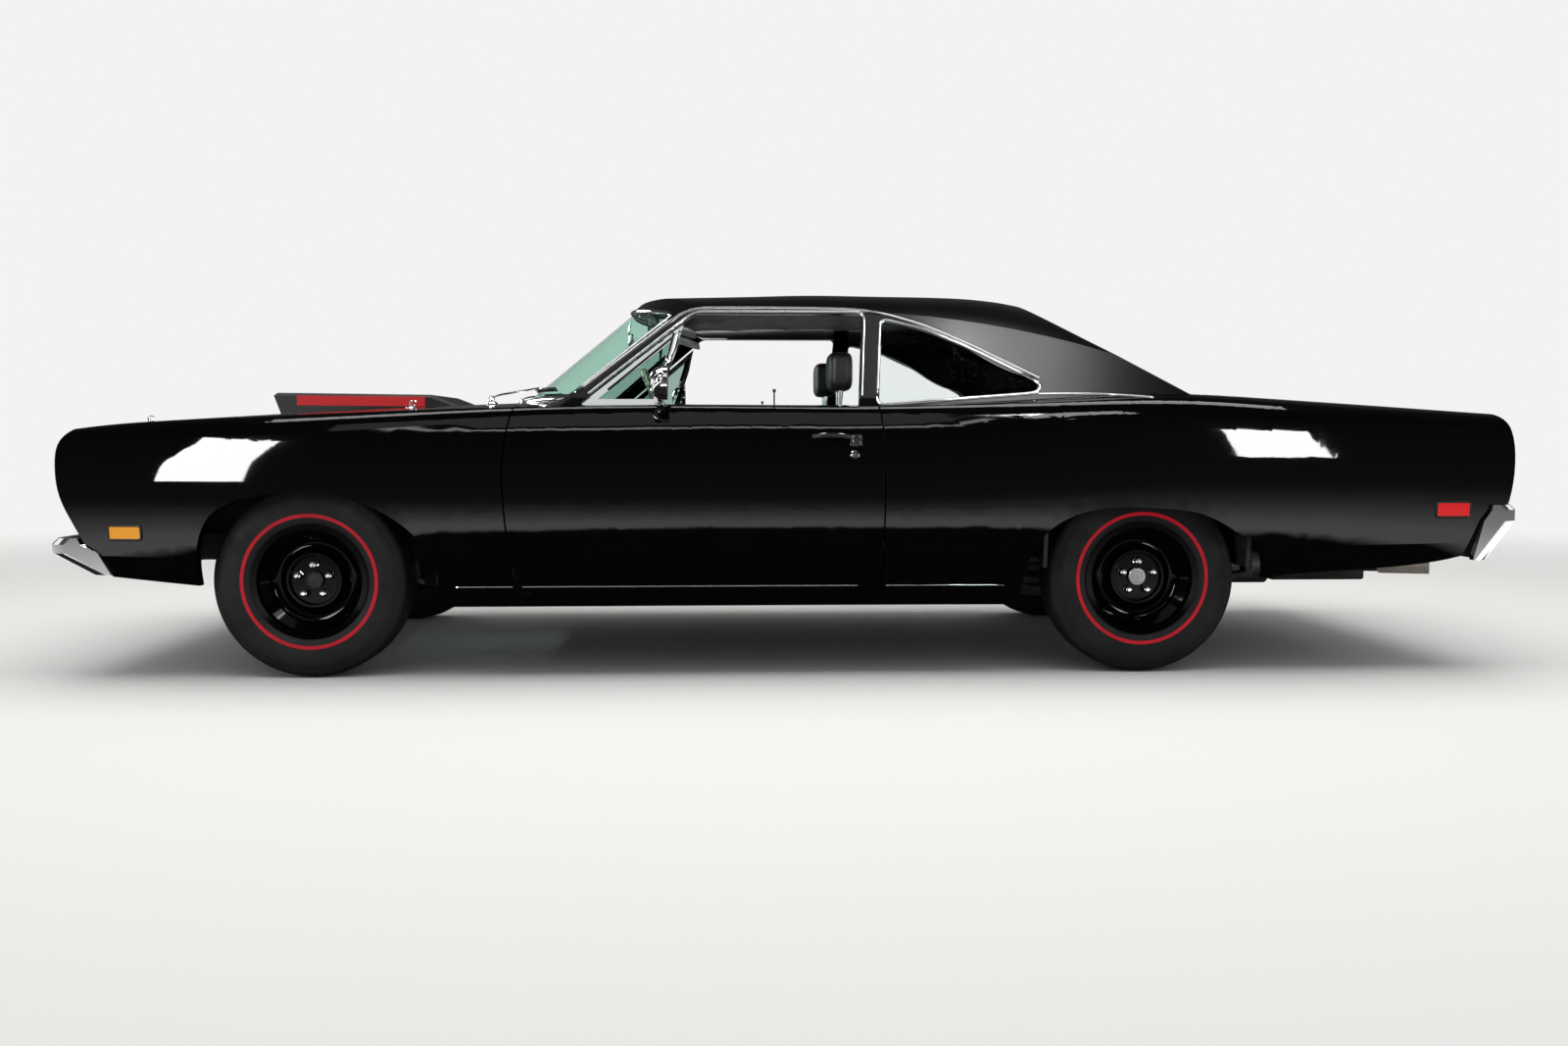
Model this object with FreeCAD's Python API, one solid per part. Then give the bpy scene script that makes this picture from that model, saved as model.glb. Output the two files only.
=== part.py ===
"""A two-door muscle car, built as an assembly of separate pieces.

X runs from the nose to the tail, Y to the car's right side and Z up. The origin lies on the ground under the
middle of the car. The painted skin is one lofted form, cut into panels along the real shut lines.
"""
import FreeCAD
import Part
import math
import os
from FreeCAD import Vector

# The whole car
overall_length = 5180.0
wheelbase = 2946.0
front_overhang = 885.0
body_width = 1936.0
belt_height = 955.0
roof_height = 1388.0
rocker_height = 256.0
track_front = 1516.0
track_rear = 1504.0

# Walls and gaps
side_wall = 45.0
top_wall = 25.0
roof_wall = 45.0
panel_gap = 6.0
seat_gap = 0.3
overrun = 60.0
door_depth = 138.0
door_skin = 15.0
door_step = 25.0
door_bottom = 305.0
belt_rise_share = 1.03
glass_thickness = 5.0
glass_inset = 10.0
sheet_metal = 12.0

# Tyres and wheels
tyre_radius = 341.0
tyre_width = 190.0
tyre_steps = 56
bead_radius = 192.0
rim_width = 165.0
rim_wall = 9.0
wheel_disc_wall = 10.0
hub_face = 22.0
lug_count = 5
lug_circle_radius = 57.15
lug_radius = 12.0
lug_length = 26.0
drum_radius = 140.0
drum_width = 62.0
drum_nose = 19.0
drum_slope = 28.5
spindle_radius = 20.0
hub_bore_radius = 20.3
hub_cap_radius = 34.0
kingpin_offset = 80.0

# Cabin
tumblehome = 0.4624
belt_half_width = 850.0
windshield_base_share = 0.206
windshield_corner_share = 0.3018
windshield_slope = 1.197
pillar_slope = 1.226
backlight_base_share = 1.224
backlight_corner_share = 1.181
backlight_slope = 1.60
sail_slope = 1.756
pillar_width = 46.0
header_height = 1290.0

# Bumpers, with each level's height, set back of the bar and place of its ends behind the tip
bumper_wall = 28.0
front_bumper_half = 905.0
rear_bumper_half = 930.0
bumper_corner = 62.0
bumper_bow = 13.0
front_bumper_levels = [(373.0, 140.0, 231.0), (448.0, 2.0, 188.0), (478.0, 0.0, 130.0), (500.0, 22.0, 120.0)]
rear_bumper_levels = [(410.0, 104.0, 186.0), (548.0, 0.0, 150.0), (588.0, 0.0, 122.0), (606.0, 20.0, 120.0)]
iron_width = 40.0
iron_height = 26.0
iron_lap = 55.0
front_iron_low = 458.0

rear_overhang = overall_length - wheelbase - front_overhang
front_axle_x = -overall_length / 2 + front_overhang
rear_axle_x = front_axle_x + wheelbase
half_width = body_width / 2
door_inner = half_width - door_depth


def place(share):
    """X of a share: -1 to 0 is the front overhang, 0 to 1 the wheelbase and 1 to 2 the rear overhang."""
    if share < 0:
        return front_axle_x + share * front_overhang
    if share > 1:
        return rear_axle_x + (share - 1) * rear_overhang
    return front_axle_x + share * wheelbase


def natural_spline(xs, ys):
    """Gives the natural cubic spline through the points as a function of x."""
    count = len(xs)
    steps = [xs[i + 1] - xs[i] for i in range(count - 1)]
    second = [0.0] * count
    upper = [0.0] * count
    value = [0.0] * count
    for i in range(1, count - 1):
        slope = (ys[i + 1] - ys[i]) / steps[i] - (ys[i] - ys[i - 1]) / steps[i - 1]
        pivot = 2 * (steps[i - 1] + steps[i]) - steps[i - 1] * upper[i - 1]
        upper[i] = steps[i] / pivot
        value[i] = (6 * slope - steps[i - 1] * value[i - 1]) / pivot
    for i in range(count - 2, 0, -1):
        second[i] = value[i] - upper[i] * second[i + 1]

    def curve(x):
        i = 0
        while i < count - 2 and x > xs[i + 1]:
            i += 1
        a = xs[i + 1] - x
        b = x - xs[i]
        step = steps[i]
        bend = (second[i] * a ** 3 + second[i + 1] * b ** 3) / (6 * step)
        left = (ys[i] / step - second[i] * step / 6) * a
        right = (ys[i + 1] / step - second[i + 1] * step / 6) * b
        return bend + left + right

    return curve


# The skin's form along the car. Heights are shares of the belt height and half widths of the half width.
skin_place_shares = [-1.03, -0.8, -0.5, -0.2, 0.1, 0.245, 0.5, 0.68, 0.82, 0.95, 1.1, 1.3, 1.6, 1.9, 2.03]
crest_height_shares = [0.901, 0.928, 0.948, 0.961, 0.981, 0.995, 1.0, 1.001, 1.018, 1.039, 1.045, 1.031, 1.004,
                       0.978, 0.966]
crest_width_shares = [0.816, 0.845, 0.866, 0.876, 0.883, 0.888, 0.893, 0.888, 0.878, 0.866, 0.86, 0.854, 0.843,
                      0.83, 0.821]
shoulder_width_shares = [0.863, 0.909, 0.938, 0.952, 0.948, 0.932, 0.919, 0.924, 0.945, 0.969, 0.975, 0.97,
                         0.952, 0.923, 0.907]
shoulder_drop_shares = [0.058, 0.063, 0.067, 0.068, 0.063, 0.047, 0.027, 0.034, 0.065, 0.088, 0.094, 0.089,
                        0.075, 0.065, 0.061]
widest_shares = [0.897, 0.942, 0.973, 0.99, 0.994, 0.992, 0.988, 0.989, 0.994, 0.999, 1.0, 0.995, 0.977, 0.95,
                 0.932]
crease_height_shares = [0.461, 0.461, 0.454, 0.45, 0.448, 0.447, 0.447, 0.448, 0.452, 0.461, 0.471, 0.48,
                        0.488, 0.494, 0.497]
crown_height_shares = [0.903, 0.934, 0.961, 0.982, 1.008, 1.028, 1.031, 1.031, 1.037, 1.052, 1.064, 1.056,
                       1.03, 0.996, 0.98]
station_shares = [-1.03, -0.9, -0.75, -0.5, -0.2, 0.0, 0.15, 0.3, 0.5, 0.68, 0.8, 0.9, 1.0, 1.15, 1.35, 1.6,
                  1.8, 1.93, 2.03]

skin_places = [place(share) for share in skin_place_shares]


def along(shares, size):
    """A spline along the car through shares of one size."""
    return natural_spline(skin_places, [share * size for share in shares])


crest_height = along(crest_height_shares, belt_height)
crest_width = along(crest_width_shares, half_width)
shoulder_width = along(shoulder_width_shares, half_width)
shoulder_drop = along(shoulder_drop_shares, belt_height)
widest = along(widest_shares, half_width)
crease_height = along(crease_height_shares, belt_height)
crown_height = along(crown_height_shares, belt_height)

crease_inset = 16.0
rocker_inset = 66.0
side_bulge = 10.0
tuck_inset = 26.0
side_pole_shares = (0.38, 0.72)
tuck_pole_share = 0.35
shoulder_pole_share = 0.8
top_pole_share = 0.6

# A curve with three equal inner poles reaches seven eighths of their height
crown_gain = 8 / 7


def bezier(points):
    """A Bezier curve from its poles."""
    curve = Part.BezierCurve()
    curve.setPoles(points)
    return curve.toShape()


def smooth(points):
    """A smooth curve through the points."""
    curve = Part.BSplineCurve()
    curve.interpolate(points)
    return curve.toShape()


def skin_section(x, side=0.0, top=0.0, drop=0.0):
    """The closed section at x. Its sides and top are moved in by a wall, and its bottom down by a drop."""
    base = rocker_height - drop
    crease = (widest(x) - crease_inset - side, crease_height(x))
    foot = (widest(x) - rocker_inset - side, base)
    tuck = (crease[0] - tuck_inset, base + tuck_pole_share * (crease[1] - base))
    crest = (crest_width(x) - side, crest_height(x) - top)
    shoulder = (shoulder_width(x) - side, crest[1] - shoulder_drop(x))
    bulge = widest(x) + side_bulge - side
    rise = shoulder[1] - crease[1]
    low = (bulge, crease[1] + side_pole_shares[0] * rise)
    high = (bulge, crease[1] + side_pole_shares[1] * rise)
    reach = shoulder_pole_share * shoulder_drop(x) / (shoulder[1] - high[1])
    round_pole = (shoulder[0] + reach * (shoulder[0] - high[0]), shoulder[1] + reach * (shoulder[1] - high[1]))
    crown = crest[1] + (crown_height(x) - top - crest[1]) * crown_gain
    right = [
        [(foot[0], foot[1]), tuck, crease],
        [crease, low, high, shoulder],
        [shoulder, round_pole, crest],
    ]
    edges = [Part.makeLine(Vector(x, -foot[0], base), Vector(x, foot[0], base))]
    for run in right:
        edges.append(bezier([Vector(x, y, z) for y, z in run]))
    inner = crest[0] * top_pole_share
    tops = [(crest[0], crest[1]), (inner, crown), (0, crown), (-inner, crown), (-crest[0], crest[1])]
    edges.append(bezier([Vector(x, y, z) for y, z in tops]))
    for run in reversed(right):
        edges.append(bezier([Vector(x, -y, z) for y, z in reversed(run)]))
    return Part.Wire(edges)


def skin_solid(side=0.0, top=0.0, drop=0.0):
    """The closed form of the skin, moved in by its walls."""
    wires = [skin_section(place(share), side, top, drop) for share in station_shares]
    return Part.makeLoft(wires, True, False)


def wire_of(runs, point):
    """A closed wire from runs of points: two points make a line, more make a smooth curve."""
    edges = []
    for run in runs:
        points = [point(*pair) for pair in run]
        if len(points) == 2:
            edges.append(Part.makeLine(points[0], points[1]))
        else:
            edges.append(smooth(points))
    return Part.Wire(edges)


def side_prism(runs, low, high):
    """A side view outline of (x, z) points, carried from one Y to another."""
    wire = wire_of(runs, lambda x, z: Vector(x, low, z))
    return Part.Face(wire).extrude(Vector(0, high - low, 0))


def plan_prism(runs, low, high):
    """A plan view outline of (x, y) points, carried from one Z to another."""
    wire = wire_of(runs, lambda x, y: Vector(x, y, low))
    return Part.Face(wire).extrude(Vector(0, 0, high - low))


def front_prism(runs, low, high):
    """A front view outline of (y, z) points, carried from one X to another."""
    wire = wire_of(runs, lambda y, z: Vector(low, y, z))
    return Part.Face(wire).extrude(Vector(high - low, 0, 0))


def polygon(points):
    """Straight runs round a closed outline."""
    return [[points[i], points[(i + 1) % len(points)]] for i in range(len(points))]


def box(x, y, z):
    """A box between pairs of limits."""
    return Part.makeBox(x[1] - x[0], y[1] - y[0], z[1] - z[0], Vector(x[0], y[0], z[0]))


def mirrored(shape):
    """The same piece on the car's other side."""
    return shape.mirror(Vector(0, 0, 0), Vector(0, 1, 0))


def both(shape):
    """A piece and its mirror image in one shape."""
    return Part.makeCompound([shape, mirrored(shape)])


def rod(start, end, radius):
    """A round bar between two points."""
    axis = end - start
    return Part.makeCylinder(radius, axis.Length, start, axis)


def fused(shapes):
    """One solid from shapes that touch, without the edges between them."""
    return shapes[0].fuse(shapes[1:]).removeSplitter()


# Side view outlines, as (place share, share of the belt height)
nose_shares = [(-0.85, 0.942), (-0.915, 0.912), (-0.952, 0.872), (-0.9585, 0.788), (-0.946, 0.712),
               (-0.922, 0.646), (-0.88, 0.572), (-0.821, 0.471), (-0.737, 0.383)]
front_arch_shares = [(-0.399, 0.351), (-0.401, 0.44), (-0.386, 0.524), (-0.328, 0.615), (-0.189, 0.671),
                     (-0.009, 0.692), (0.031, 0.69), (0.072, 0.653), (0.108, 0.595), (0.14, 0.503),
                     (0.152, 0.429), (0.16, 0.346), (0.169, 0.25)]
rear_arch_shares = [(0.843, 0.25), (0.847, 0.333), (0.853, 0.419), (0.863, 0.495), (0.903, 0.596),
                    (0.967, 0.631), (1.035, 0.625), (1.121, 0.608), (1.217, 0.542), (1.238, 0.521)]
ledge_shares = [(1.238, 0.521), (1.272, 0.52)]
ledge_drop_shares = [(1.272, 0.52), (1.296, 0.461), (1.304, 0.366)]
rear_bottom_shares = [(1.304, 0.366), (1.643, 0.402), (1.826, 0.437), (1.91, 0.471)]
tail_shares = [(1.91, 0.471), (1.966, 0.676), (1.977, 0.8), (1.974, 0.91), (1.96, 0.962), (1.93, 0.995)]
door_front_shares = [(0.247, 1.01), (0.236, 0.838), (0.235, 0.764), (0.236, 0.67), (0.24, 0.523),
                     (0.246, 0.398), (0.251, 0.319)]
door_rear_shares = [(0.655, 0.319), (0.67, 0.337), (0.678, 0.39), (0.68, 0.48), (0.681, 0.693), (0.68, 0.901),
                    (0.675, 1.01)]

# Plan view places
hood_front_share = -0.81
hood_reach_share = -1.0
hood_rear_share = 0.166
hood_front_half = 700.0
hood_rear_half = 762.0
lid_front_share = 1.285
lid_rear_share = 1.925
lid_front_half = 668.0
lid_rear_half = 690.0


def points_of(shares):
    """Side view points in millimetres from their shares."""
    return [(place(share), height * belt_height) for share, height in shares]


def door_outline(grow):
    """The door's side view outline, grown all round by a gap."""
    front = [(x - grow, z) for x, z in points_of(door_front_shares)]
    rear = [(x + grow, z) for x, z in points_of(door_rear_shares)]
    front[-1] = (front[-1][0], door_bottom - grow)
    rear[0] = (rear[0][0], door_bottom - grow)
    top = belt_height * belt_rise_share
    return [
        [(front[0][0], top), front[0]],
        front,
        [front[-1], rear[0]],
        rear,
        [rear[-1], (rear[-1][0], top)],
        [(rear[-1][0], top), (front[0][0], top)],
    ]


def seam_half(x, ends, halves):
    """The half width of a panel seam at x, straight between its two ends."""
    share = (x - ends[0]) / (ends[1] - ends[0])
    return halves[0] + share * (halves[1] - halves[0])


def build_skin():
    """The skin's outer form, the space inside its walls, and the shell between them."""
    outer = skin_solid()
    inner = skin_solid(side_wall, top_wall, overrun)
    return outer, inner, outer.cut(inner)


def body_outline():
    """The car's side view, with its two arches open."""
    nose = points_of(nose_shares)
    tail = points_of(tail_shares)
    arch = points_of(front_arch_shares)
    rear = points_of(rear_arch_shares)
    low = arch[-1][1]
    return [
        nose,
        [nose[-1], arch[0]],
        arch,
        [arch[-1], (rear[0][0], low)],
        rear,
        points_of(ledge_shares),
        points_of(ledge_drop_shares),
        points_of(rear_bottom_shares),
        tail,
        [tail[-1], (tail[-1][0], roof_height)],
        [(tail[-1][0], roof_height), (nose[0][0], roof_height)],
        [(nose[0][0], roof_height), nose[0]],
    ]


def hood_plan(grow):
    """The hood's plan view, grown by a gap at its sides and rear."""
    front = place(hood_reach_share)
    rear = place(hood_rear_share) + grow
    ends = (place(hood_front_share), place(hood_rear_share))
    halves = (hood_front_half, hood_rear_half)
    front_half = seam_half(front, ends, halves) + grow
    rear_half = seam_half(rear, ends, halves) + grow
    return polygon([(front, -front_half), (rear, -rear_half), (rear, rear_half), (front, front_half)])


def lid_plan(grow):
    """The deck lid's plan view, grown by a gap at its sides and front."""
    front = place(lid_front_share) - grow
    rear = place(lid_rear_share) + grow + overrun
    ends = (place(lid_front_share), place(lid_rear_share))
    halves = (lid_front_half, lid_rear_half)
    front_half = seam_half(front, ends, halves) + grow
    rear_half = seam_half(rear, ends, halves) + grow
    return polygon([(front, -front_half), (rear, -rear_half), (rear, rear_half), (front, front_half)])


def cabin_half(z):
    """Half of the cabin's width at a height."""
    return belt_half_width - tumblehome * (z - belt_height)


def cabin_outline(z, inset):
    """The cabin's plan outline at a height: two bowed ends and two straight sides, moved in by an inset."""
    rise = z - belt_height
    front_pull = inset * math.hypot(1, windshield_slope)
    rear_pull = inset * math.hypot(1, backlight_slope)
    half = cabin_half(z) - inset * math.hypot(1, tumblehome)
    front_middle = place(windshield_base_share) + windshield_slope * rise + front_pull
    front_corner = place(windshield_corner_share) + pillar_slope * rise + front_pull
    rear_middle = place(backlight_base_share) - backlight_slope * rise - rear_pull
    rear_corner = place(backlight_corner_share) - sail_slope * rise - rear_pull
    front = [(front_corner, -half), (2 * front_middle - front_corner, 0), (front_corner, half)]
    rear = [(rear_corner, half), (2 * rear_middle - rear_corner, 0), (rear_corner, -half)]
    edges = [
        bezier([Vector(x, y, z) for x, y in front]),
        Part.makeLine(Vector(front_corner, half, z), Vector(rear_corner, half, z)),
        bezier([Vector(x, y, z) for x, y in rear]),
        Part.makeLine(Vector(rear_corner, -half, z), Vector(front_corner, -half, z)),
    ]
    return Part.Wire(edges)


def cabin_block(inset, low, high):
    """The cabin's leaning walls as a solid, moved in by an inset."""
    return Part.makeLoft([cabin_outline(low, inset), cabin_outline(high, inset)], True, True)


# The roof's crown along the car, as shares of the roof height, and how square its section is
crown_place_shares = [0.2, 0.38, 0.445, 0.52, 0.64, 0.76, 0.86, 0.92, 0.96, 1.02, 1.1, 1.2]
crown_middle_shares = [0.955, 0.988, 0.993, 0.997, 1.003, 1.002, 0.989, 0.958, 0.924, 0.872, 0.808, 0.75]
crown_edge_shares = [0.915, 0.937, 0.942, 0.943, 0.938, 0.92, 0.885, 0.855, 0.83, 0.79, 0.745, 0.705]
crown_power_shares = [5.0, 5.0, 5.0, 5.0, 4.6, 4.2, 3.6, 3.2, 3.0, 3.0, 3.0, 3.0]
crown_reach_shares = [-1.06, -1.0, -0.95, -0.86, -0.72, -0.5, 0.0, 0.5, 0.72, 0.86, 0.95, 1.0, 1.06]


def crown_section(x, middle, edge, power, lower, low):
    """One cross section under the roof's crown: flat in the middle and falling fast to the side edge."""
    reach = cabin_half(edge)
    points = []
    for share in crown_reach_shares:
        height = middle - (middle - edge) * abs(share) ** power - lower
        points.append(Vector(x, share * reach, height))
    first = points[0]
    last = points[-1]
    edges = [
        smooth(points),
        Part.makeLine(last, Vector(x, half_width, last.z)),
        Part.makeLine(Vector(x, half_width, last.z), Vector(x, half_width, low)),
        Part.makeLine(Vector(x, half_width, low), Vector(x, -half_width, low)),
        Part.makeLine(Vector(x, -half_width, low), Vector(x, -half_width, first.z)),
        Part.makeLine(Vector(x, -half_width, first.z), first),
    ]
    return Part.Wire(edges)


def crown_block(lower):
    """Everything under the roof's crown, lowered by a wall."""
    wires = []
    for share, middle, edge, power in zip(crown_place_shares, crown_middle_shares, crown_edge_shares,
                                          crown_power_shares):
        wires.append(crown_section(place(share), middle * roof_height, edge * roof_height, power, lower,
                                   belt_height / 2))
    return Part.makeLoft(wires, True, False)


def pillar_line(z, back):
    """X of the windshield pillar's outer edge at a height, moved back."""
    return place(windshield_corner_share) + pillar_slope * (z - belt_height) + back


door_window_rear_shares = [(0.6541, 1.0), (0.6626, 1.36)]
quarter_window_shares = [(0.6779, 1.012), (0.686, 1.325), (0.735, 1.29), (0.79, 1.215), (0.85, 1.12),
                         (0.873, 1.085), (0.874, 1.066), (0.866, 1.055)]


def door_window(grow):
    """The door's window opening: a leaning pillar, a post and a header."""
    low = belt_height - overrun
    rear_low, rear_high = points_of(door_window_rear_shares)
    front_low = pillar_line(low, pillar_width - grow)
    front_high = pillar_line(header_height, pillar_width - grow)
    slope = (rear_high[0] - rear_low[0]) / (rear_high[1] - rear_low[1])
    rear_foot = rear_low[0] + slope * (low - rear_low[1])
    rear_head = rear_low[0] + slope * (header_height - rear_low[1])
    return polygon([(front_low, low), (rear_foot, low), (rear_head, header_height),
                    (front_high, header_height)])


def quarter_window(inset):
    """The quarter window's outline: a straight post, a curved top and a straight sill."""
    points = points_of(quarter_window_shares)
    foot = (points[0][0] + inset, points[0][1] + inset)
    head = (points[1][0] + inset, points[1][1] - inset)
    curve = [head] + [(x - inset, z - inset) for x, z in points[2:5]]
    tip = [(x - inset, z) for x, z in points[5:7]]
    curve = curve + tip
    end = (points[7][0] - inset, points[7][1] + inset)
    return [
        [foot, head],
        curve,
        [curve[-1], end],
        [end, foot],
    ]


roof_middle_share = 0.62
pane_reach_share = 0.125
windshield_margin = 52.0
windshield_foot_share = 1.035
windshield_head_share = 0.966
backlight_half_share = 0.70
backlight_foot_share = 1.085
backlight_head_share = 0.938


def windshield_hole(inset):
    """The windshield's front view, moved in by an inset."""
    low = belt_height * windshield_foot_share + inset
    high = roof_height * windshield_head_share - inset
    corner = header_height - inset
    low_half = cabin_half(low) - windshield_margin - inset
    high_half = cabin_half(corner) - windshield_margin - inset
    return [
        [(-low_half, low), (low_half, low)],
        [(low_half, low), (high_half, corner)],
        [(high_half, corner), (0, high), (-high_half, corner)],
        [(-high_half, corner), (-low_half, low)],
    ]


def backlight_hole(inset):
    """The rear window's outline from behind, moved in by an inset."""
    low = belt_height * backlight_foot_share + inset
    high = roof_height * backlight_head_share - inset
    half = cabin_half(low) * backlight_half_share - inset
    top_half = cabin_half(high) * backlight_half_share - inset
    return polygon([(-half, low), (half, low), (top_half, high), (-top_half, high)])


def build_cabin(outer):
    """The roof with its pillars, and the glass that fits it."""
    low = belt_height - 2 * overrun
    high = roof_height + overrun
    front_reach = place(roof_middle_share - pane_reach_share)
    rear_reach = place(roof_middle_share + pane_reach_share)
    hull = cabin_block(0, low, high).common(crown_block(0))
    hollow = cabin_block(roof_wall, low - overrun, high).common(crown_block(roof_wall))
    roof = hull.cut(hollow)
    side_cut = [
        side_prism(door_window(0), -half_width, half_width),
        side_prism(quarter_window(0), -half_width, half_width),
    ]
    front_end = place(windshield_base_share) - overrun
    rear_end = place(backlight_base_share) + overrun
    front_cut = front_prism(windshield_hole(0), front_end, front_reach)
    rear_cut = front_prism(backlight_hole(0), rear_reach, rear_end)
    door_room = side_prism(door_outline(panel_gap), -half_width, -door_inner + panel_gap)
    roof = roof.cut(side_cut + [front_cut, rear_cut, outer, door_room, mirrored(door_room)])

    pane = cabin_block(glass_inset, low, high).common(crown_block(glass_inset))
    behind = glass_inset + glass_thickness
    pane = pane.cut(cabin_block(behind, low - overrun, high).common(crown_block(behind)))
    front_pane = front_prism(windshield_hole(seat_gap), front_end, front_reach)
    rear_pane = front_prism(backlight_hole(seat_gap), rear_reach, rear_end)
    windshield = pane.common(front_pane)
    backlight = pane.common(rear_pane)
    side_pane = pane.common(side_prism(quarter_window(seat_gap), -half_width, half_width))
    return roof, windshield, [backlight, side_pane]


def tumble_point(x, z, inward):
    """A point on the door glass plane, moved in from it."""
    return Vector(x, inward / math.hypot(1, tumblehome) - cabin_half(z), z)


vent_frame_width = 20.0
vent_frame_depth = 14.0
vent_tip_width = 1.0
vent_bar_low_share = 0.4149
vent_bar_high_share = 0.4427


def top_seat(x, y):
    """The lowest height at which something can stand on the skin's top edge, reaching in as far as y."""
    rise = (crown_height(x) - crest_height(x)) * crown_gain
    slope = rise / (crest_width(x) * (1 - top_pole_share))
    return crest_height(x) + slope * (crest_width(x) - y) + 2 * seat_gap


def vent_corners(inset):
    """The vent window's side view: a sloping front, an upright bar and a sill."""
    reach = belt_half_width - vent_frame_depth
    foot_shares = (windshield_corner_share, vent_bar_low_share)
    low = max(top_seat(place(share), reach) for share in foot_shares) + inset
    head = header_height - 2 * panel_gap - inset * 2
    back = pillar_width + 2 * panel_gap + inset * math.hypot(1, pillar_slope)
    front_low = pillar_line(low, back)
    rear_low = place(vent_bar_low_share) - inset
    rear_high = place(vent_bar_high_share) - inset
    head = min(head, low + (rear_high - front_low) / pillar_slope)
    front_high = min(pillar_line(head, back), rear_high - vent_tip_width)
    return [(front_low, low), (rear_low, low), (rear_high, head), (front_high, head)]


def leaned(points, inward, depth):
    """A flat plate in the plane of the door glass, from a side view outline."""
    corners = [tumble_point(x, z, inward) for x, z in points]
    face = Part.Face(Part.makePolygon(corners + [corners[0]]))
    return face.extrude(Vector(0, depth / math.hypot(1, tumblehome), 0))


mirror_share = 0.4267
mirror_height = 1032.0
mirror_radius = 58.0
mirror_depth = 62.0
mirror_reach = 975.0
mirror_stem_radius = 9.0

# The mirror head's section, as (share of its depth, share of its radius)
mirror_flank_shares = [(0.25, 1.0), (0.75, 0.78), (1.0, 0.35)]


def build_mirror():
    """A round bright mirror on a stem that stands on the door's top edge."""
    x = place(mirror_share)
    middle = Vector(x, -mirror_reach + mirror_radius / 2, mirror_height)
    flank = [(depth * mirror_depth, radius * mirror_radius) for depth, radius in mirror_flank_shares]
    runs = [
        [(0, 0), (0, mirror_radius)],
        [(0, mirror_radius), flank[0]],
        flank,
        [flank[-1], (mirror_depth, 0)],
        [(mirror_depth, 0), (0, 0)],
    ]
    wire = wire_of(runs, lambda a, r: Vector(middle.x - a, middle.y, middle.z + r))
    head = Part.Face(wire).revolve(middle, Vector(1, 0, 0), 360)
    stem_x = x - mirror_depth / 2
    foot_y = crest_width(x) - mirror_stem_radius
    foot = Vector(stem_x, -foot_y, top_seat(x, foot_y - 2 * mirror_stem_radius))
    base = Part.makeCylinder(mirror_stem_radius * 2, mirror_stem_radius, foot)
    stem_top = Vector(stem_x, middle.y + mirror_radius / 3, mirror_height - mirror_radius / 2)
    stem = rod(foot + Vector(0, 0, mirror_stem_radius), stem_top, mirror_stem_radius)
    return head.fuse([stem, base])


def build_door_trim():
    """The vent window's frame and its glass."""
    frame = leaned(vent_corners(0), 0, vent_frame_depth)
    frame = frame.cut(leaned(vent_corners(vent_frame_width), -vent_frame_depth, 3 * vent_frame_depth))
    glass = leaned(vent_corners(vent_frame_width + seat_gap), vent_frame_depth / 2, glass_thickness)
    return frame, glass


def build_door(outer):
    """A door: a thin outer layer over its full outline, and the deep box behind it."""
    layer = skin_solid(door_skin, door_skin, overrun)
    full = side_prism(door_outline(0), -half_width - overrun, -door_inner)
    small = side_prism(door_outline(-door_step), -half_width - overrun, -door_inner)
    skin = outer.cut(layer).common(full)
    core = outer.common(small)
    return skin.fuse(core)


# Half of the tyre's section, as (share of the half width, share of the way from the bead to the tread)
tyre_section_shares = [(0.74, 0.0), (0.94, 0.22), (1.0, 0.5), (0.95, 0.78), (0.86, 0.95), (0.66, 1.0)]


def tyre_section():
    """The tyre's closed section, as (offset from the middle, radius) points."""
    side = []
    for width_share, rise_share in tyre_section_shares:
        side.append((width_share * tyre_width / 2, bead_radius + rise_share * (tyre_radius - bead_radius)))
    return side + [(-offset, radius) for offset, radius in reversed(side)]


def build_tyre(x, y):
    """The tyre, turned in flat steps that stand just outside its true circles, with a flat on the ground."""
    step = 2 * math.pi / tyre_steps
    section = tyre_section()
    rings = []
    for i in range(tyre_steps):
        angle = (i + 0.5) * step
        ring = []
        for offset, radius in section:
            reach = radius / math.cos(step / 2)
            ring.append(Vector(x + reach * math.cos(angle), y + offset,
                               tyre_radius + reach * math.sin(angle)))
        rings.append(ring)
    faces = []
    for i in range(tyre_steps):
        near = rings[i - 1]
        far = rings[i]
        for j in range(len(section)):
            corners = [near[j - 1], near[j], far[j], far[j - 1], near[j - 1]]
            faces.append(Part.Face(Part.makePolygon(corners)))
    return Part.Solid(Part.Shell(faces))


def turned(runs, x, y, outward):
    """A body turned about the wheel's axle. Positive offsets point outwards."""
    middle = Vector(x, y, tyre_radius)
    wire = wire_of(runs, lambda w, r: Vector(x, y + outward * w, tyre_radius + r))
    return Part.Face(wire).revolve(middle, Vector(0, 1, 0), 360)


# The wheel's section, as (share of the rim width, share of the bead radius)
well_shares = [(0.3, 0.998), (0.16, 0.86), (-0.16, 0.86), (-0.3, 0.998)]
bowl_shares = [(0.12, 0.813), (0.045, 0.73), (0.04, 0.63), (0.12, 0.55), (0.22, 0.505)]
hub_shares = [(0.22, 0.46), (0.175, 0.44)]
lip_height = 10.0


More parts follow.
